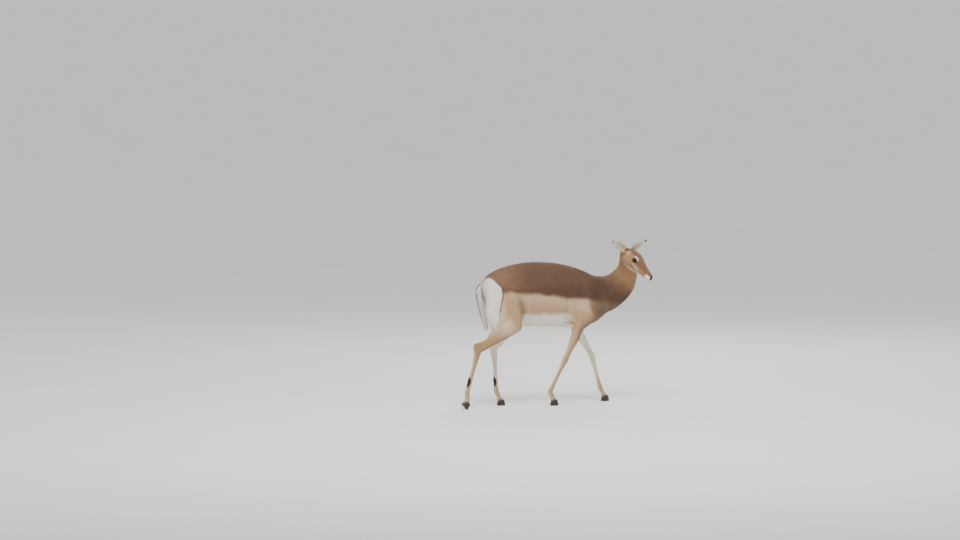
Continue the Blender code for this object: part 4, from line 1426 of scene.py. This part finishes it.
# %% Legs and belly
def paint_legs(spot):
    """Paler down the legs, brown in front, and white inside."""
    z, ragged = spot.z, spot.ragged
    shin = (z + ragged).fade(0.47, 0.38)
    spot.lay(shin, SAND)
    # darker brown round the hock: partly the leg's own colour, partly painted shade
    hock = z + spot.wander * 0.05 - 0.37
    hock = hock.fade(-0.11, -0.02) * hock.fade(0.1, 0.02) * (spot.x + ragged).fade(-0.16, -0.22)
    spot.lay(hock * 0.75, TAN)
    upper_arm = (z + ragged).fade(0.565, 0.49) * (spot.x + ragged).fade(0.18, 0.215)
    spot.lay(upper_arm.most(shin) * spot.ahead.fade(-0.45, 0.5) * 0.8, TAN)
    # deeper brown on the front of the upper foreleg: partly its own colour, partly painted shade
    spot.lay(upper_arm * z.fade(0.36, 0.44) * spot.ahead.fade(-0.25, 0.45) * 0.6, EARTH)
    inside = spot.outward.fade(-0.05, -0.45) * (z + ragged).fade(0.1, 0.2) * z.fade(0.62, 0.55)
    spot.lay(inside.most(shin * spot.ahead.fade(-0.3, -0.85) * 0.55) * 0.9, CREAM)
    spot.lay(inside * z.fade(0.25, 0.42), WHITE)


def paint_belly(spot):
    """White belly and groin, and a cream breast between the forelegs."""
    x, z = spot.x, spot.z
    foreleg = x.fade(0.13, 0.17) * spot.out.fade(0.05, 0.066) * z.fade(0.535, 0.505)
    edge = z - BELLY_EDGE + 0.05 * (x - 0.1).fade(0.0, 0.25) + spot.ragged
    under = spot.upward.fade(-0.35, -0.75)
    ahead = (x + spot.wander * 0.04).fade(0.215, 0.115).most(under * x.fade(0.34, 0.28))
    behind = (spot.thigh + spot.wander * 0.03).fade(-0.185, -0.13)
    behind = behind.most(under * spot.thigh.fade(-0.26, -0.2))
    belly = edge.fade(0.018, -0.018) * z.fade(0.4, 0.44) * ahead * behind
    groin = spot.out.fade(0.062, 0.046) * z.fade(0.63, 0.58) * z.fade(0.4, 0.44) * x.fade(-0.06, -0.12)
    spot.lay((belly * (1.0 - foreleg)).most(groin), WHITE)
    spot.lay(spot.out.fade(0.04, 0.012) * x.fade(0.3, 0.38) * z.fade(0.6, 0.54) * 0.6, CREAM)


# %% Rump and tail
def paint_rear(spot):
    """White rump and tail, with black down each haunch, along the spine and down the tail."""
    x, z, out = spot.x, spot.z, spot.out
    lean = spot.left * (RUMP_SLOPES[LEFT] - RUMP_SLOPES[RIGHT]) + RUMP_SLOPES[RIGHT]
    border = RUMP_EDGE + lean * (0.7 - z).most(0.0) - 0.95 * (z - 0.745).most(0.0)
    behind = border - x + spot.wander * 0.012 + spot.fine * 0.005
    spot.lay(behind.fade(-0.006, 0.008) * (z.fade(0.815, 0.79) * z.fade(0.47, 0.53)), WHITE)
    haunch = (1.0 - abs(behind + 0.002).fade(0.0018, 0.0062)) * z.fade(0.555, 0.605) * z.fade(0.8, 0.77)
    spot.lay(haunch * 0.85, BLACK)
    spine = out.fade(0.009, 0.004) * z.fade(0.765, 0.785) * (x + spot.wander * 0.3).fade(-0.14, -0.3)
    dock = out.fade(0.0075, 0.004) * z.fade(0.742, 0.752) * x.fade(-0.362, -0.37)
    spot.lay((spine * 0.8).most(dock), BLACK)
    forward, height, slope = TAIL_BACK
    middle = x - forward - slope * (height - z).most(0.0)
    spot.lay(middle.fade(-0.005, -0.009) * out.fade(0.007, 0.0035) * z.fade(0.51, 0.58), BLACK)


# %% Face
def mouth_line(along):
    """The line of the mouth as a Value, close to the groove in the skin."""
    drop = mouth_height(MOUTH_BACK) - mouth_height(MOUTH_FRONT)
    share = (MOUTH_FRONT - along) / (MOUTH_FRONT - MOUTH_BACK)
    return share * share * float(drop) + float(mouth_height(MOUTH_FRONT))


def paint_face(spot):
    """Brown crown and bridge, white brow, cheek, lips and chin, and a small white throat."""
    along, up, aside, fine, head, wander = spot.along, spot.up, spot.aside, spot.fine, spot.head, spot.wander
    spot.lay(head * 0.55, TAN)
    crown = head * (up + 0.03 - 0.2 * along + fine * 0.01).fade(0.0, 0.022)
    spot.lay(crown * aside.fade(0.042, 0.026) * along.fade(0.135, 0.09) * 0.85, CROWN)
    bridge = head * (up + 0.05 + 0.1 * (along - 0.15) + fine * 0.01).fade(0.0, 0.026)
    spot.lay(bridge * along.fade(0.08, 0.13) * 0.75, CROWN)
    spot.lay(head * spot.cheeks(0.062, 0.046, -0.06).fade(0.05, 0.015) * 0.35, SAND)
    brow = 1.0 - abs(spot.cheeks(0.099, 0.042, -0.021) - 0.0255 + fine * 0.005).fade(0.0015, 0.007)
    brow = brow * (up + 0.014 - 0.28 * (along - 0.1)).fade(-0.002, 0.008)
    spot.lay(brow * along.fade(0.08, 0.094) * along.fade(0.146, 0.13) * head * 0.75, WHITE)
    long, tall = (along - 0.128) / 0.04, (up + 0.047 + 0.3 * (along - 0.128) + fine * 0.01) / 0.015
    spot.lay((long * long + tall * tall).fade(1.1, 0.0) * aside.fade(0.015, 0.025) * 0.45, CREAM)
    ear_foot = (spot.cheeks(0.036, 0.037, -0.008) + fine * 0.02 + wander * 0.03).fade(0.024, 0.0)
    spot.lay(ear_foot * 0.55, CREAM)
    jaw = (up + 0.09 - 0.19 * (along - 0.05) + fine * 0.016 + wander * 0.012).fade(0.01, -0.012)
    jaw = head * jaw * along.fade(0.035, 0.085) * (up + fine * 0.016 + wander * 0.02).fade(-0.126, -0.096)
    muzzle = head * (along + fine * 0.014 - 0.25 * (up + 0.05)).fade(0.2, 0.22)
    spot.lay(jaw.most(muzzle * (up + 0.032).fade(0.004, -0.008)), WHITE)
    throat = spot.finish.distance(spot.place, head_point(0.052, 0.0, -0.12)) + fine * 0.012 + wander * 0.02
    throat = throat.fade(0.04, 0.016) * spot.finish.along(spot.facing, AHEAD).fade(0.4, 0.8)
    spot.lay(throat * 0.85, WHITE)
    lip_line = 1.0 - abs(up - mouth_line(along)).fade(0.0006, 0.0018)
    spot.lay(lip_line * along.fade(MOUTH_BACK, 0.205) * head * 0.8, BLACK)
    wide, back = aside / 0.0185, (0.256 - along - 0.1 * (up + 0.045)) / 0.019
    nose = (wide * wide + back * back + fine * 0.3).fade(1.15, 0.8) * (up + 0.0545).fade(0.0, 0.003)
    spot.lay(nose * spot.neck.fade(0.02, 0.06), BLACK)


# %% One side's lids, ear and gland
def paint_side(spot, side):
    """Lids, tear mark, ear and hind gland of one side."""
    finish, place, fine = spot.finish, spot.place, spot.fine
    flip = (1, side, 1)
    lid = finish.distance(place, head_point(*(EYE_PLACE + GAZE * 0.012) * flip))
    spot.lay((lid + fine * 0.003).fade(0.0168, 0.0128) * 0.85, BLACK)
    tear = finish.distance(place, head_point(*(EYE_PLACE + GAZE * 0.009 + CORNERS * 0.0185) * flip))
    spot.lay((tear + fine * 0.006).fade(0.0085, 0.001) * 0.75, BLACK)
    aim, _, _, root = ear_axes(side)
    share = finish.along(place, aim, root) / EAR_LENGTH
    near_ear = finish.distance(place, root + aim * EAR_LENGTH * 0.55).fade(0.085, 0.078)
    on_ear = share.fade(0.14, 0.24) * near_ear
    spot.lay(on_ear * (1.0 - spot.inner) * 0.45, SAND)
    lining = finish.blend(share.fade(0.1, 0.4), EAR_PINK, WHITE)
    spot.lay(share.fade(0.03, 0.13) * near_ear * spot.inner * 0.9, lining)
    spot.lay(on_ear * (share + fine * 0.06).fade(0.86, 0.94) * 0.9, BLACK)
    gland = GLAND_PLACES[side]
    lengthwise = finish.along(place, CANNONS[side], gland) + 0.006
    rear = finish.along(place, np.cross(CANNONS[side], SIDEWAYS), gland)
    near = finish.distance(place, gland + (-0.01, 0.002 * side, 0.0)).fade(0.062, 0.052)
    spot.lay((rear - lengthwise * lengthwise * 12.0 + fine * 0.004).fade(-0.001, 0.003) * near, BLACK)


# %% All the markings
def markings(finish):
    """The coat's colour as a node socket."""
    spot = Spot(finish)
    for paint_part in (paint_trunk, paint_legs, paint_belly, paint_rear, paint_face):
        paint_part(spot)
    for side in SIDES:
        paint_side(spot, side)
    patchy = finish.noise(spot.place, 26.0, 3.0, 0.6)
    spot.colour = finish.shade(patchy.fade(0.62, 0.3) * 0.5, spot.colour, 0.8)
    spot.lay((spot.z + spot.fine * 0.006).fade(0.045, 0.034) * 0.75, CROWN)  # above the hoof
    return spot.colour


# %% [markdown]
# ## Hide and hair
#
# Two finishes share the markings. The hide lies under and between the locks and on the closest-haired
# parts, so it is drawn with fine streaks along the lie of the hair, as bump and as shade. A lock is too
# small for that: it only darkens towards its root and differs a little from its neighbours.

# %% Finishes of the hide and the coat
HAIR_GRAIN = 900.0
STRETCH = 0.93  # how far the skin's grain is drawn out along the hair


def skin_finish():
    """Hair lying flat: the markings over fine streaks that follow the lie."""
    finish = Finish("hide", 0.72, sheen_weight=0.12, sheen_roughness=0.5, specular_ior_level=0.25)
    place = finish.place()
    lie = finish.ways("lie")
    along = Value(finish, finish.vectors("DOT_PRODUCT", place, lie, "Value"))
    scaled = finish.add("ShaderNodeVectorMath", dict(operation="SCALE"), {0: lie, "Scale": along * STRETCH})
    streaks = finish.noise(finish.vectors("SUBTRACT", place, scaled.outputs[0]), HAIR_GRAIN, 2.0, 0.6)
    colour = markings(finish)
    finish.colour(finish.shade(streaks.fade(0.35, 0.75), colour, 0.8))
    finish.bump(streaks, 0.35, 0.0012)
    return finish.material


def coat_finish():
    """A lock of hair: darker at its root, paler at its tip, each a little unlike the next."""
    finish = Finish("coat", 0.62, sheen_weight=0.1, sheen_roughness=0.5, specular_ior_level=0.3)
    tone = finish.attribute("tone")
    reach = finish.attribute("reach")
    colour = markings(finish)
    colour = finish.shade(reach.fade(0.6, 0.0), colour, 0.8)
    colour = finish.shade(tone.fade(0.4, 0.0), colour, 0.84)
    finish.colour(finish.blend(reach.fade(0.5, 1.0) * tone.fade(0.4, 1.0) * 0.16, colour, CREAM))
    return finish.material


HIDE = skin_finish()
COAT = coat_finish()
print(len(HIDE.node_tree.nodes), "nodes in the hide and", len(COAT.node_tree.nodes), "in the coat")

# %% [markdown]
# ## Dressing a piece
#
# Every piece is moved from the body's own axes to the model's, gets its finish, and rides on the one
# body that a still model has.


def seat_piece(piece, material):
    """Shift a piece to the model's origin, and give it its finish and its body."""
    piece.data.transform(Matrix.Translation(-Vector(ORIGIN)))
    piece.data.materials.clear()
    piece.data.materials.append(material)
    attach(piece, "root")
    return piece


def write_skin_fields(body):
    """What the finishes read on the skin; the locks carry the same fields."""
    places = vertex_places(body.data)
    normals = vertex_normals(body.data)
    write_field(body.data, "lie", lie_on(read_bones(places)[0], normals))
    write_field(body.data, "facing", normals)
    write_field(body.data, "inner", inside_ear(places, normals))


write_skin_fields(skin)
seat_piece(skin, HIDE)
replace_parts(skin, "trunk", "neck", "head", "tail", "leg_front_left", "leg_front_right", "leg_hind_left",
            "leg_hind_right", "ear_left", "ear_right")
print("the skin stands in for ten nodes")

# %% [markdown]
# ## The short coat
#
# The locks are shared out by region and then into pieces small enough to handle, each with its own
# map. Within a piece the map is the unrolled skin, stretched to fill the square.

# %% Lay the coat
PIECE_LOCKS = 18500
LEFT_SHIFT = 1.02  # puts the left side's map beside the right side's


def flat_map_of(places, which, along_chain):
    """The unrolled skin as map places from 0 to 1."""
    on_left = np.array([bone["side"] for bone in BONES])[which] == LEFT
    angle, along = unrolled(places, which, along_chain)
    flat = np.stack([angle + np.where(on_left, LEFT_SHIFT, 0.0), along], axis=1)
    low = flat.min(axis=0)
    span = np.maximum(flat.max(axis=0) - low, 1e-6)
    return UV_PATCH + (flat - low) / span * (1.0 - 2 * UV_PATCH)


def lay_coat():
    depth = coat_depth(roots)
    for side in SIDES:
        share, off = ear_share(roots, side)
        depth = np.where((share > -0.06) & (off < EAR_REACH), EAR_HAIR, depth)
    length = coat_length(roots) * CHANCE.uniform(0.75, 1.25, len(roots))
    width = coat_length(roots) * LOCK_WIDTH * CHANCE.uniform(0.8, 1.2, len(roots))
    lift = depth * CHANCE.uniform(0.25, 1.0, len(roots))
    inner = inside_ear(roots, normals)
    tone = CHANCE.random(len(roots))
    regions = np.array([bone["region"] for bone in BONES])[which]
    made = []
    for region in sorted(set(regions)):
        members = np.flatnonzero(regions == region)
        members = members[np.argsort(roots[members, 0] if region == "trunk" else roots[members, 1])]
        groups = np.array_split(members, max(1, math.ceil(len(members) / PIECE_LOCKS)))
        for number, group in enumerate(groups, 1):
            shape = (values[group] for values in (roots, normals, lies, length, width, lift))
            flat_map = flat_map_of(roots[group], which[group], along_chain[group])
            piece = lock_mesh(f"coat_{region}_{number}", *shape, flat_map, tone[group], inner[group])
            made.append(seat_piece(piece, COAT))
    return made


coat = lay_coat()
print(len(coat), "coat pieces,", sum(len(piece.data.polygons) for piece in coat), "triangles")

# %% [markdown]
# ## Long hair
#
# The tail is a brush of long white hair round a thin dock, with a black line down its back. Long pale
# hairs line the ears, and black tufts cover the glands on the rear of the hind cannons. These are locks
# too, with one more ring so that they bend.

# %% The tail's brush
LONG_RINGS = 3


def long_hair(name, roots, normals, lies, length, width, lift, inner=0.0):
    """Seat a piece of long locks, all of one width, and give it its map."""
    _, which, along_chain = read_bones(roots)
    every = np.ones(len(roots))
    piece = lock_mesh(name, roots, normals, unit(lies), length, every * width, every * lift,
                      flat_map_of(roots, which, along_chain), CHANCE.random(len(roots)), every * inner,
                      LONG_RINGS)
    return seat_piece(piece, COAT)


TAIL_LOCKS = 5200
TAIL_LOCK = 0.056
TAIL_SPAN = 0.31  # length of the tail along its curve


def tail_brush():
    """Locks from the dock, combed down and out to the width of the brush."""
    rows = smooth_through([(x, 0.0, z, thick, half) for x, z, thick, half in TAIL], 0.004)
    share = 0.12 + CHANCE.random(TAIL_LOCKS) ** 0.85 * 0.76
    at = share * (len(rows) - 1)
    low = at.astype(int)
    row = between(rows[low], rows[np.minimum(low + 1, len(rows) - 1)], (at - low)[:, None])
    ahead_row = rows[np.minimum(low + 2, len(rows) - 1)]
    down = unit(ahead_row[:, :3] - rows[np.maximum(low - 1, 0), :3])
    behind = unit(np.cross(SIDEWAYS, down))
    angle = CHANCE.uniform(-math.pi, math.pi, TAIL_LOCKS)
    thick, half = row[:, 3:4], row[:, 4:5]
    core = (DOCK * CHANCE.uniform(0.4, 1.0, TAIL_LOCKS))[:, None]
    spread = behind * np.cos(angle)[:, None] * thick + SIDEWAYS * np.sin(angle)[:, None] * half
    normal = unit(behind * np.cos(angle)[:, None] + SIDEWAYS * np.sin(angle)[:, None])
    start = row[:, :3] + spread * core
    left = np.clip((1.0 - share) * TAIL_SPAN, 0.014, TAIL_LOCK)
    length = left * CHANCE.uniform(0.5, 1.08, TAIL_LOCKS)
    taper = np.clip((1.0 - share) * 3.4, 0.15, 1.0)[:, None] * ramp(share, 0.06, 0.24)[:, None]
    ways = unit(down + spread * (0.92 - core) / np.maximum(length, 0.02)[:, None] * taper)
    return long_hair("coat_tail_brush", start, normal, ways, length, 0.003, 0.0015)


print("the brush has", TAIL_LOCKS, "locks")


# %% Ear linings
EAR_FRINGE = 520


def ear_fringe(side):
    """Pale hairs that lean across the hollow of the ear from its edges."""
    aim, hollow, across, root = ear_axes(side)
    leaf = np.array(EAR_LEAF)
    share = CHANCE.uniform(0.16, 0.74, EAR_FRINGE)
    half = np.interp(share, leaf[:, 0], leaf[:, 1]) * EAR_WIDTH - EAR_HAIR * 2
    edge = np.where(CHANCE.random(EAR_FRINGE) < 0.5, -1.0, 1.0)
    angle = edge * CHANCE.uniform(0.55, 1.35, EAR_FRINGE)
    cup = half * ear_cup(share) - EAR_THICK * 0.8
    bend = EAR_BEND * np.sin(math.pi * share)
    start = (root + aim * (share * EAR_LENGTH)[:, None]
             + across * ((half - EAR_THICK * 0.7) * np.sin(angle))[:, None]
             - hollow * (bend + cup * np.cos(angle))[:, None])
    normal = unit(hollow * (np.cos(angle) + 0.9)[:, None] - across * (np.sin(angle) * 0.6)[:, None])
    ways = unit(aim * 1.0 - across * (edge * 0.75)[:, None] + hollow * 0.16)
    ways = lie_on(ways, normal) + normal * 0.04
    length = CHANCE.uniform(0.01, 0.021, EAR_FRINGE) * np.interp(share, (0.16, 0.4, 0.74), (0.8, 1.0, 0.6))
    return long_hair("coat_ear_fringe_" + WORDS[side], start, normal, ways, length, 0.0011, 0.0015,
                     inner=1.0)


print("each ear is lined with", EAR_FRINGE, "locks")


# %% Gland tufts, and all the long hair
GLAND_LOCKS = 420
GLAND_DEEP = 0.0115  # from the middle of the cannon to the roots


def gland_tuft(side):
    """The black brush on the rear of the hind cannon."""
    rear = unit(np.cross(CANNONS[side], SIDEWAYS))
    along = CHANCE.uniform(-0.024, 0.03, GLAND_LOCKS)
    angle = CHANCE.normal(0.0, 0.55, GLAND_LOCKS)
    normal = unit(rear * np.cos(angle)[:, None] + SIDEWAYS * np.sin(angle)[:, None])
    start = GLAND_PLACES[side] + CANNONS[side] * along[:, None] + normal * GLAND_DEEP
    length = CHANCE.uniform(0.014, 0.024, GLAND_LOCKS)
    lift = CHANCE.uniform(0.002, 0.0065, GLAND_LOCKS)
    ways = CHANCE.normal(0.0, 0.06, normal.shape) - CANNONS[side]
    return long_hair("coat_gland_tuft_" + WORDS[side], start, normal, lie_on(ways, normal), length, 0.0019,
                     lift)


hair = [tail_brush()]
for side in SIDES:
    hair += [ear_fringe(side), gland_tuft(side)]
print(len(hair), "pieces of long hair,", sum(len(piece.data.polygons) for piece in hair), "triangles")

# %% [markdown]
# ## Eyes
#
# Each eye is a true ball with a dark brown iris and the long level pupil of a grazing animal, under a
# clear wet coat. A thin black rim, the bare edge of the lids, is swept round the opening and closes the
# gap between ball and skin. A row of stiff lashes grows from the upper lid.

# %% Eyeballs
PUPIL_LONG, PUPIL_TALL = 0.0068, 0.0036
IRIS = 0.0118


def eye_finish():
    finish = Finish("eyeball", 0.25, coat_weight=0.35, coat_roughness=0.03, specular_ior_level=0.08)
    spot = finish.own_place()
    _, level, tall = finish.parts(spot)
    off = (level * level + tall * tall).maths("SQRT")
    rays = finish.noise(spot, 420.0, 3.0)
    iris = finish.blend(rays.fade(0.35, 0.7), paint(34, 20, 13), paint(66, 38, 22))
    iris = finish.blend(off.fade(0.007, 0.0112), iris, paint(14, 9, 8))
    white = finish.blend(off.fade(IRIS, IRIS + 0.0006), iris, paint(46, 32, 28))
    wide = level / PUPIL_LONG
    high = tall / PUPIL_TALL
    pupil = (wide * wide + high * high).fade(1.1, 0.92)
    finish.colour(finish.blend(pupil, white, paint(6, 5, 7)))
    return finish.material


def eye_middle(side):
    return head_point(*EYE_PLACE * (1, side, 1))


def eyeball(side, material):
    """A ball whose own +X is the way that the eye looks."""
    mesh = bmesh.new()
    bmesh.ops.create_uvsphere(mesh, u_segments=64, v_segments=40, radius=EYE_RADIUS - 0.0002)
    ball = thing_of(mesh, "eyeball_" + WORDS[side])
    gaze = HEAD_AXES @ (GAZE * (1, side, 1))
    level = HEAD_AXES @ (CORNERS * (1, side, 1))
    turn = Matrix(np.stack([gaze, level, np.cross(gaze, level)], axis=1).tolist()).to_4x4()
    ball.matrix_world = Matrix.Translation(Vector(eye_middle(side) - ORIGIN)) @ turn
    ball.data.materials.append(material)
    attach(ball, "root")
    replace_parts(ball, "eye_" + WORDS[side])
    return ball


def bare_finish(name, colour, roughness):
    """Naked dark skin with a fine pebble grain."""
    finish = Finish(name, roughness, specular_ior_level=0.5)
    spot = finish.own_place()
    grain = finish.noise(spot, 700.0, 3.0)
    paler = (*(value * 2.2 for value in colour[:3]), 1.0)
    finish.colour(finish.blend(grain.fade(0.3, 0.8) * 0.5, colour, paler))
    finish.bump(grain, 0.4, 0.0006)
    return finish.material


print("an eye is", EYE_RADIUS * 2000, "mm across")


# %% Rims of the lids
RIM_STEPS = 72
RIM_SIDES = 8
RIM_THICK = 0.0009
RIM_LIFT = 0.0004  # how far its middle stands above the ball


def rim_place(turn, side):
    """A place on the rim of the opening, on the ball, and the way out from the ball there."""
    across = EYE_HALF * math.cos(turn) * 0.985
    tall = EYE_UP if math.sin(turn) > 0 else EYE_DOWN
    up = math.copysign(tall * float(eye_spread(across)), math.sin(turn))
    facing = math.sqrt(max(EYE_RADIUS**2 - across**2 - up**2, 0.0))
    local = GAZE * facing + CORNERS * across + LID_UP * up
    flip = (1, side, 1)
    return eye_middle(side) + HEAD_AXES @ (local * flip), HEAD_AXES @ (unit(local) * flip)


def rim_places(turns, side):
    """The rim at each turn as two arrays: the places and the ways out."""
    places, outs = zip(*(rim_place(turn, side) for turn in turns))
    return np.array(places), np.array(outs)


def eye_rim(side, material):
    """A thin closed tube round the opening."""
    spine, outs = rim_places(np.linspace(0.0, 2 * math.pi, RIM_STEPS, endpoint=False), side)
    spine = spine + outs * RIM_LIFT
    ways = unit(np.roll(spine, -1, axis=0) - np.roll(spine, 1, axis=0))
    across = unit(np.cross(ways, outs))
    angles = (np.arange(RIM_SIDES) * 2 * math.pi / RIM_SIDES)[:, None]
    mesh = bmesh.new()
    add_rings(mesh, spine[:, None] + outs[:, None] * (RIM_THICK * np.sin(angles))
              + across[:, None] * (RIM_THICK * 1.2 * np.cos(angles)), endless=True)
    return seat_piece(thing_of(mesh, "eye_rim_" + WORDS[side]), material)


print("a rim has", RIM_STEPS * RIM_SIDES, "faces")


# %% Lashes, and both eyes
LASHES = 34
LASH_LENGTH = 0.0065
LASH_DROOP = 0.45


def lashes(side):
    """Stiff dark hairs from the upper lid, out and down."""
    starts, outs = rim_places(np.linspace(0.35, math.pi - 0.25, LASHES), side)
    upward = HEAD_AXES @ (LID_UP * (1, side, 1))
    ways = unit(outs - upward * LASH_DROOP)
    normals = lie_on(np.broadcast_to(upward, outs.shape), ways)
    length = LASH_LENGTH * CHANCE.uniform(0.75, 1.1, LASHES)
    every = np.ones(LASHES)
    piece = lock_mesh("lashes_" + WORDS[side], starts + outs * RIM_LIFT, normals, ways, length,
                      every * 0.0007, every * 0.0015, np.full((LASHES, 2), 0.5), every * 0.5, every * 0.0,
                      LONG_RINGS)
    return seat_piece(piece, LID_SKIN)


EYE = eye_finish()
LID_SKIN = bare_finish("lid_skin", paint(36, 28, 25), 0.42)
for side in SIDES:
    eyeball(side, EYE)
    eye_rim(side, LID_SKIN)
    lashes(side)
print("eyes, rims and lashes on both sides")

# %% [markdown]
# ## Hooves
#
# A foot is two claws side by side. Each is lofted from the coronet, where the hair ends, to the sole,
# with a pointed toe and a rounder heel, and trimmed by the floor. Horn grows down in fine fibres and
# faint rings. Noise drawn out in height gives the fibres, and a sine of the height gives the rings.

# %% Claws
CLAW_HALF = 0.0096
CLAW_SPLIT = 0.0012
CLAW_TOE = 0.0315
CLAW_HEEL = 0.0175
CORONET_TILT = 24.0
POINTED, BLUNT = 1.75, 2.35
CLAW_SIDES = 40
CLAW_LEVELS = [  # share of the height down, reach of the toe and of the heel, width
    (0.0, 0.62, 0.8, 0.92),
    (0.45, 0.84, 0.92, 1.0),
    (0.86, 1.0, 1.0, 1.0),
    (1.0, 0.97, 0.94, 0.92),
]
CLAW_RINGS = 15
CLAW_BEVEL = 0.0008


def claw_ring(share, toe, heel, wide, out, slope):
    ring = []
    for i in range(CLAW_SIDES):
        angle = 2 * math.pi * i / CLAW_SIDES
        front = math.cos(angle) > 0
        reach = CLAW_TOE * toe if front else CLAW_HEEL * heel
        ahead = reach * rounded(math.cos(angle), POINTED if front else BLUNT)
        width = CLAW_HALF * wide * rounded(math.sin(angle), BLUNT)
        closing = 0.25 * max(ahead, 0.0) / CLAW_TOE
        spread = CLAW_SPLIT / 2 + CLAW_HALF * (1.0 - closing)
        height = (1.0 - share) * ahead * slope - share * CORONET_HEIGHT
        ring.append(Vector((ahead, out * spread + width, height)))
    return ring


def claw(foot, side, out, where, material):
    """One claw, with its top, wall and sole, standing on the floor."""
    joints = FORE if foot == "front" else HIND
    lift = HEEL_LIFT.get((foot, side), 0.0)
    turn = Matrix.Translation(Vector(joints[side]["coronet"])) @ Matrix.Rotation(math.radians(lift), 4, "Y")
    slope = math.tan(math.radians(CORONET_TILT))
    levels = np.array(CLAW_LEVELS)
    mesh = bmesh.new()
    rings = []
    for share in np.linspace(0.0, 1.0, CLAW_RINGS):
        toe, heel, wide = (np.interp(share, levels[:, 0], levels[:, k]) for k in (1, 2, 3))
        rings.append([turn @ point for point in claw_ring(share, toe, heel, wide, out, slope)])
    add_rings(mesh, rings)
    if min(vertex.co.z for vertex in mesh.verts) < -0.00001:
        geometry = list(mesh.verts) + list(mesh.edges) + list(mesh.faces)
        bmesh.ops.bisect_plane(mesh, geom=geometry, plane_co=(0, 0, 0), plane_no=(0, 0, -1), clear_outer=True)
        bmesh.ops.holes_fill(mesh, edges=[edge for edge in mesh.edges if edge.is_boundary])
    name = "_".join(("claw", foot, WORDS[side], where))
    piece = thing_of(mesh, name)
    bevel = piece.modifiers.new("worn edges", "BEVEL")
    bevel.width = CLAW_BEVEL
    bevel.segments = 3
    bevel.limit_method = "ANGLE"
    bevel.angle_limit = math.radians(40)
    apply_modifiers(piece)
    piece.data.shade_smooth()
    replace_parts(seat_piece(piece, material), "_".join(("hoof", foot, WORDS[side], where)))
    return piece


print("a claw is lofted in", CLAW_RINGS, "rings")


# %% Horn, and all the claws
def horn_finish():
    finish = Finish("hoof_horn", 0.38, specular_ior_level=0.45)
    spot = finish.own_place()
    _, _, height = finish.parts(spot)
    drawn = finish.vectors("MULTIPLY", spot, (1.0, 1.0, 0.12))
    fibres = finish.noise(drawn, 900.0, 3.0, 0.6)
    cloud = finish.noise(spot, 90.0, 3.0)
    rings = ((height + cloud * 0.004) * 1250.0).maths("SINE") * 0.5 + 0.5
    colour = finish.blend(fibres.fade(0.3, 0.75), paint(27, 23, 21), paint(52, 44, 39))
    colour = finish.blend(rings * cloud.fade(0.3, 0.7) * 0.3, colour, paint(70, 61, 54))
    worn = height.fade(0.007, 0.0) * cloud.fade(0.35, 0.7)
    finish.colour(finish.blend(worn * 0.4, colour, paint(112, 99, 86)))
    finish.bump(rings * 0.35 + fibres * 0.35, 0.3, 0.0006)
    return finish.material


HORN = horn_finish()
for foot in ("front", "hind"):
    for side in SIDES:
        for out, where in ((side, "outer"), (-side, "inner")):
            claw(foot, side, out, where, HORN)
print("eight claws")

# %% [markdown]
# ## Stage, light and camera
#
# A pale floor and large soft lamps let the coat's own colours show. The camera stands low and far off
# with a long lens, behind the animal and to her right, as someone would who watches wild game.

# %% Floor and lights
def floor_finish():
    finish = Finish("studio_floor", 0.85)
    spot = finish.own_place()
    cloud = finish.noise(spot, 1.6, 3.0)
    finish.colour(finish.blend(cloud, (0.8, 0.785, 0.76, 1.0), (0.86, 0.845, 0.82, 1.0)))
    return finish.material


FLOOR_REACH = 400.0
mesh = bmesh.new()
bmesh.ops.create_circle(mesh, cap_ends=True, segments=96, radius=FLOOR_REACH)
floor = bpy.data.objects.new("floor", bpy.data.meshes.new("floor"))
mesh.to_mesh(floor.data)
mesh.free()
bpy.context.collection.objects.link(floor)
floor.data.materials.append(floor_finish())

world = bpy.data.worlds.new("studio")
bpy.context.scene.world = world
world.use_nodes = True
world.node_tree.nodes["Background"].inputs["Color"].default_value = (0.93, 0.95, 0.98, 1.0)
world.node_tree.nodes["Background"].inputs["Strength"].default_value = 0.95


def soft_lamp(name, place, size, power):
    """A square area lamp aimed at the animal's middle."""
    lamp = bpy.data.lights.new(name, "AREA")
    lamp.shape = "SQUARE"
    lamp.size = size
    lamp.energy = power
    thing = bpy.data.objects.new(name, lamp)
    thing.location = place
    thing.rotation_euler = (MIDDLE - Vector(place)).to_track_quat("-Z", "Y").to_euler()
    bpy.context.collection.objects.link(thing)


MIDDLE = Vector((0.0, 0.0, 0.6))
soft_lamp("key", (-1.6, -3.6, 6.0), 2.8, 400.0)
soft_lamp("rim", (2.8, 3.6, 4.2), 3.0, 150.0)
print("two lamps over a floor", FLOOR_REACH, "m in radius")

# %% Camera
SIGHT = Vector((0.4216, 0.9041, -0.0698)).normalized()  # the way the camera looks
ACROSS = SIGHT.cross(Vector((0.0, 0.0, 1.0))).normalized()
UPWARD = ACROSS.cross(SIGHT)
CAMERA_AWAY = 33.0
VIEW_WIDTH = 5.963  # metres across the picture at the animal
VIEW_LEFT, VIEW_UP = -0.466, 0.841  # middle of the picture, along ACROSS and UPWARD
SENSOR = 36.0

aim = ACROSS * VIEW_LEFT + UPWARD * VIEW_UP
camera = bpy.data.objects.new("camera", bpy.data.cameras.new("camera"))
camera.data.sensor_width = SENSOR
camera.data.lens = SENSOR * CAMERA_AWAY / VIEW_WIDTH
camera.data.clip_end = 1000.0
camera.location = aim - SIGHT * CAMERA_AWAY
camera.rotation_euler = SIGHT.to_track_quat("-Z", "Y").to_euler()
bpy.context.collection.objects.link(camera)
bpy.context.scene.camera = camera
print("lens", round(camera.data.lens, 1), "mm")
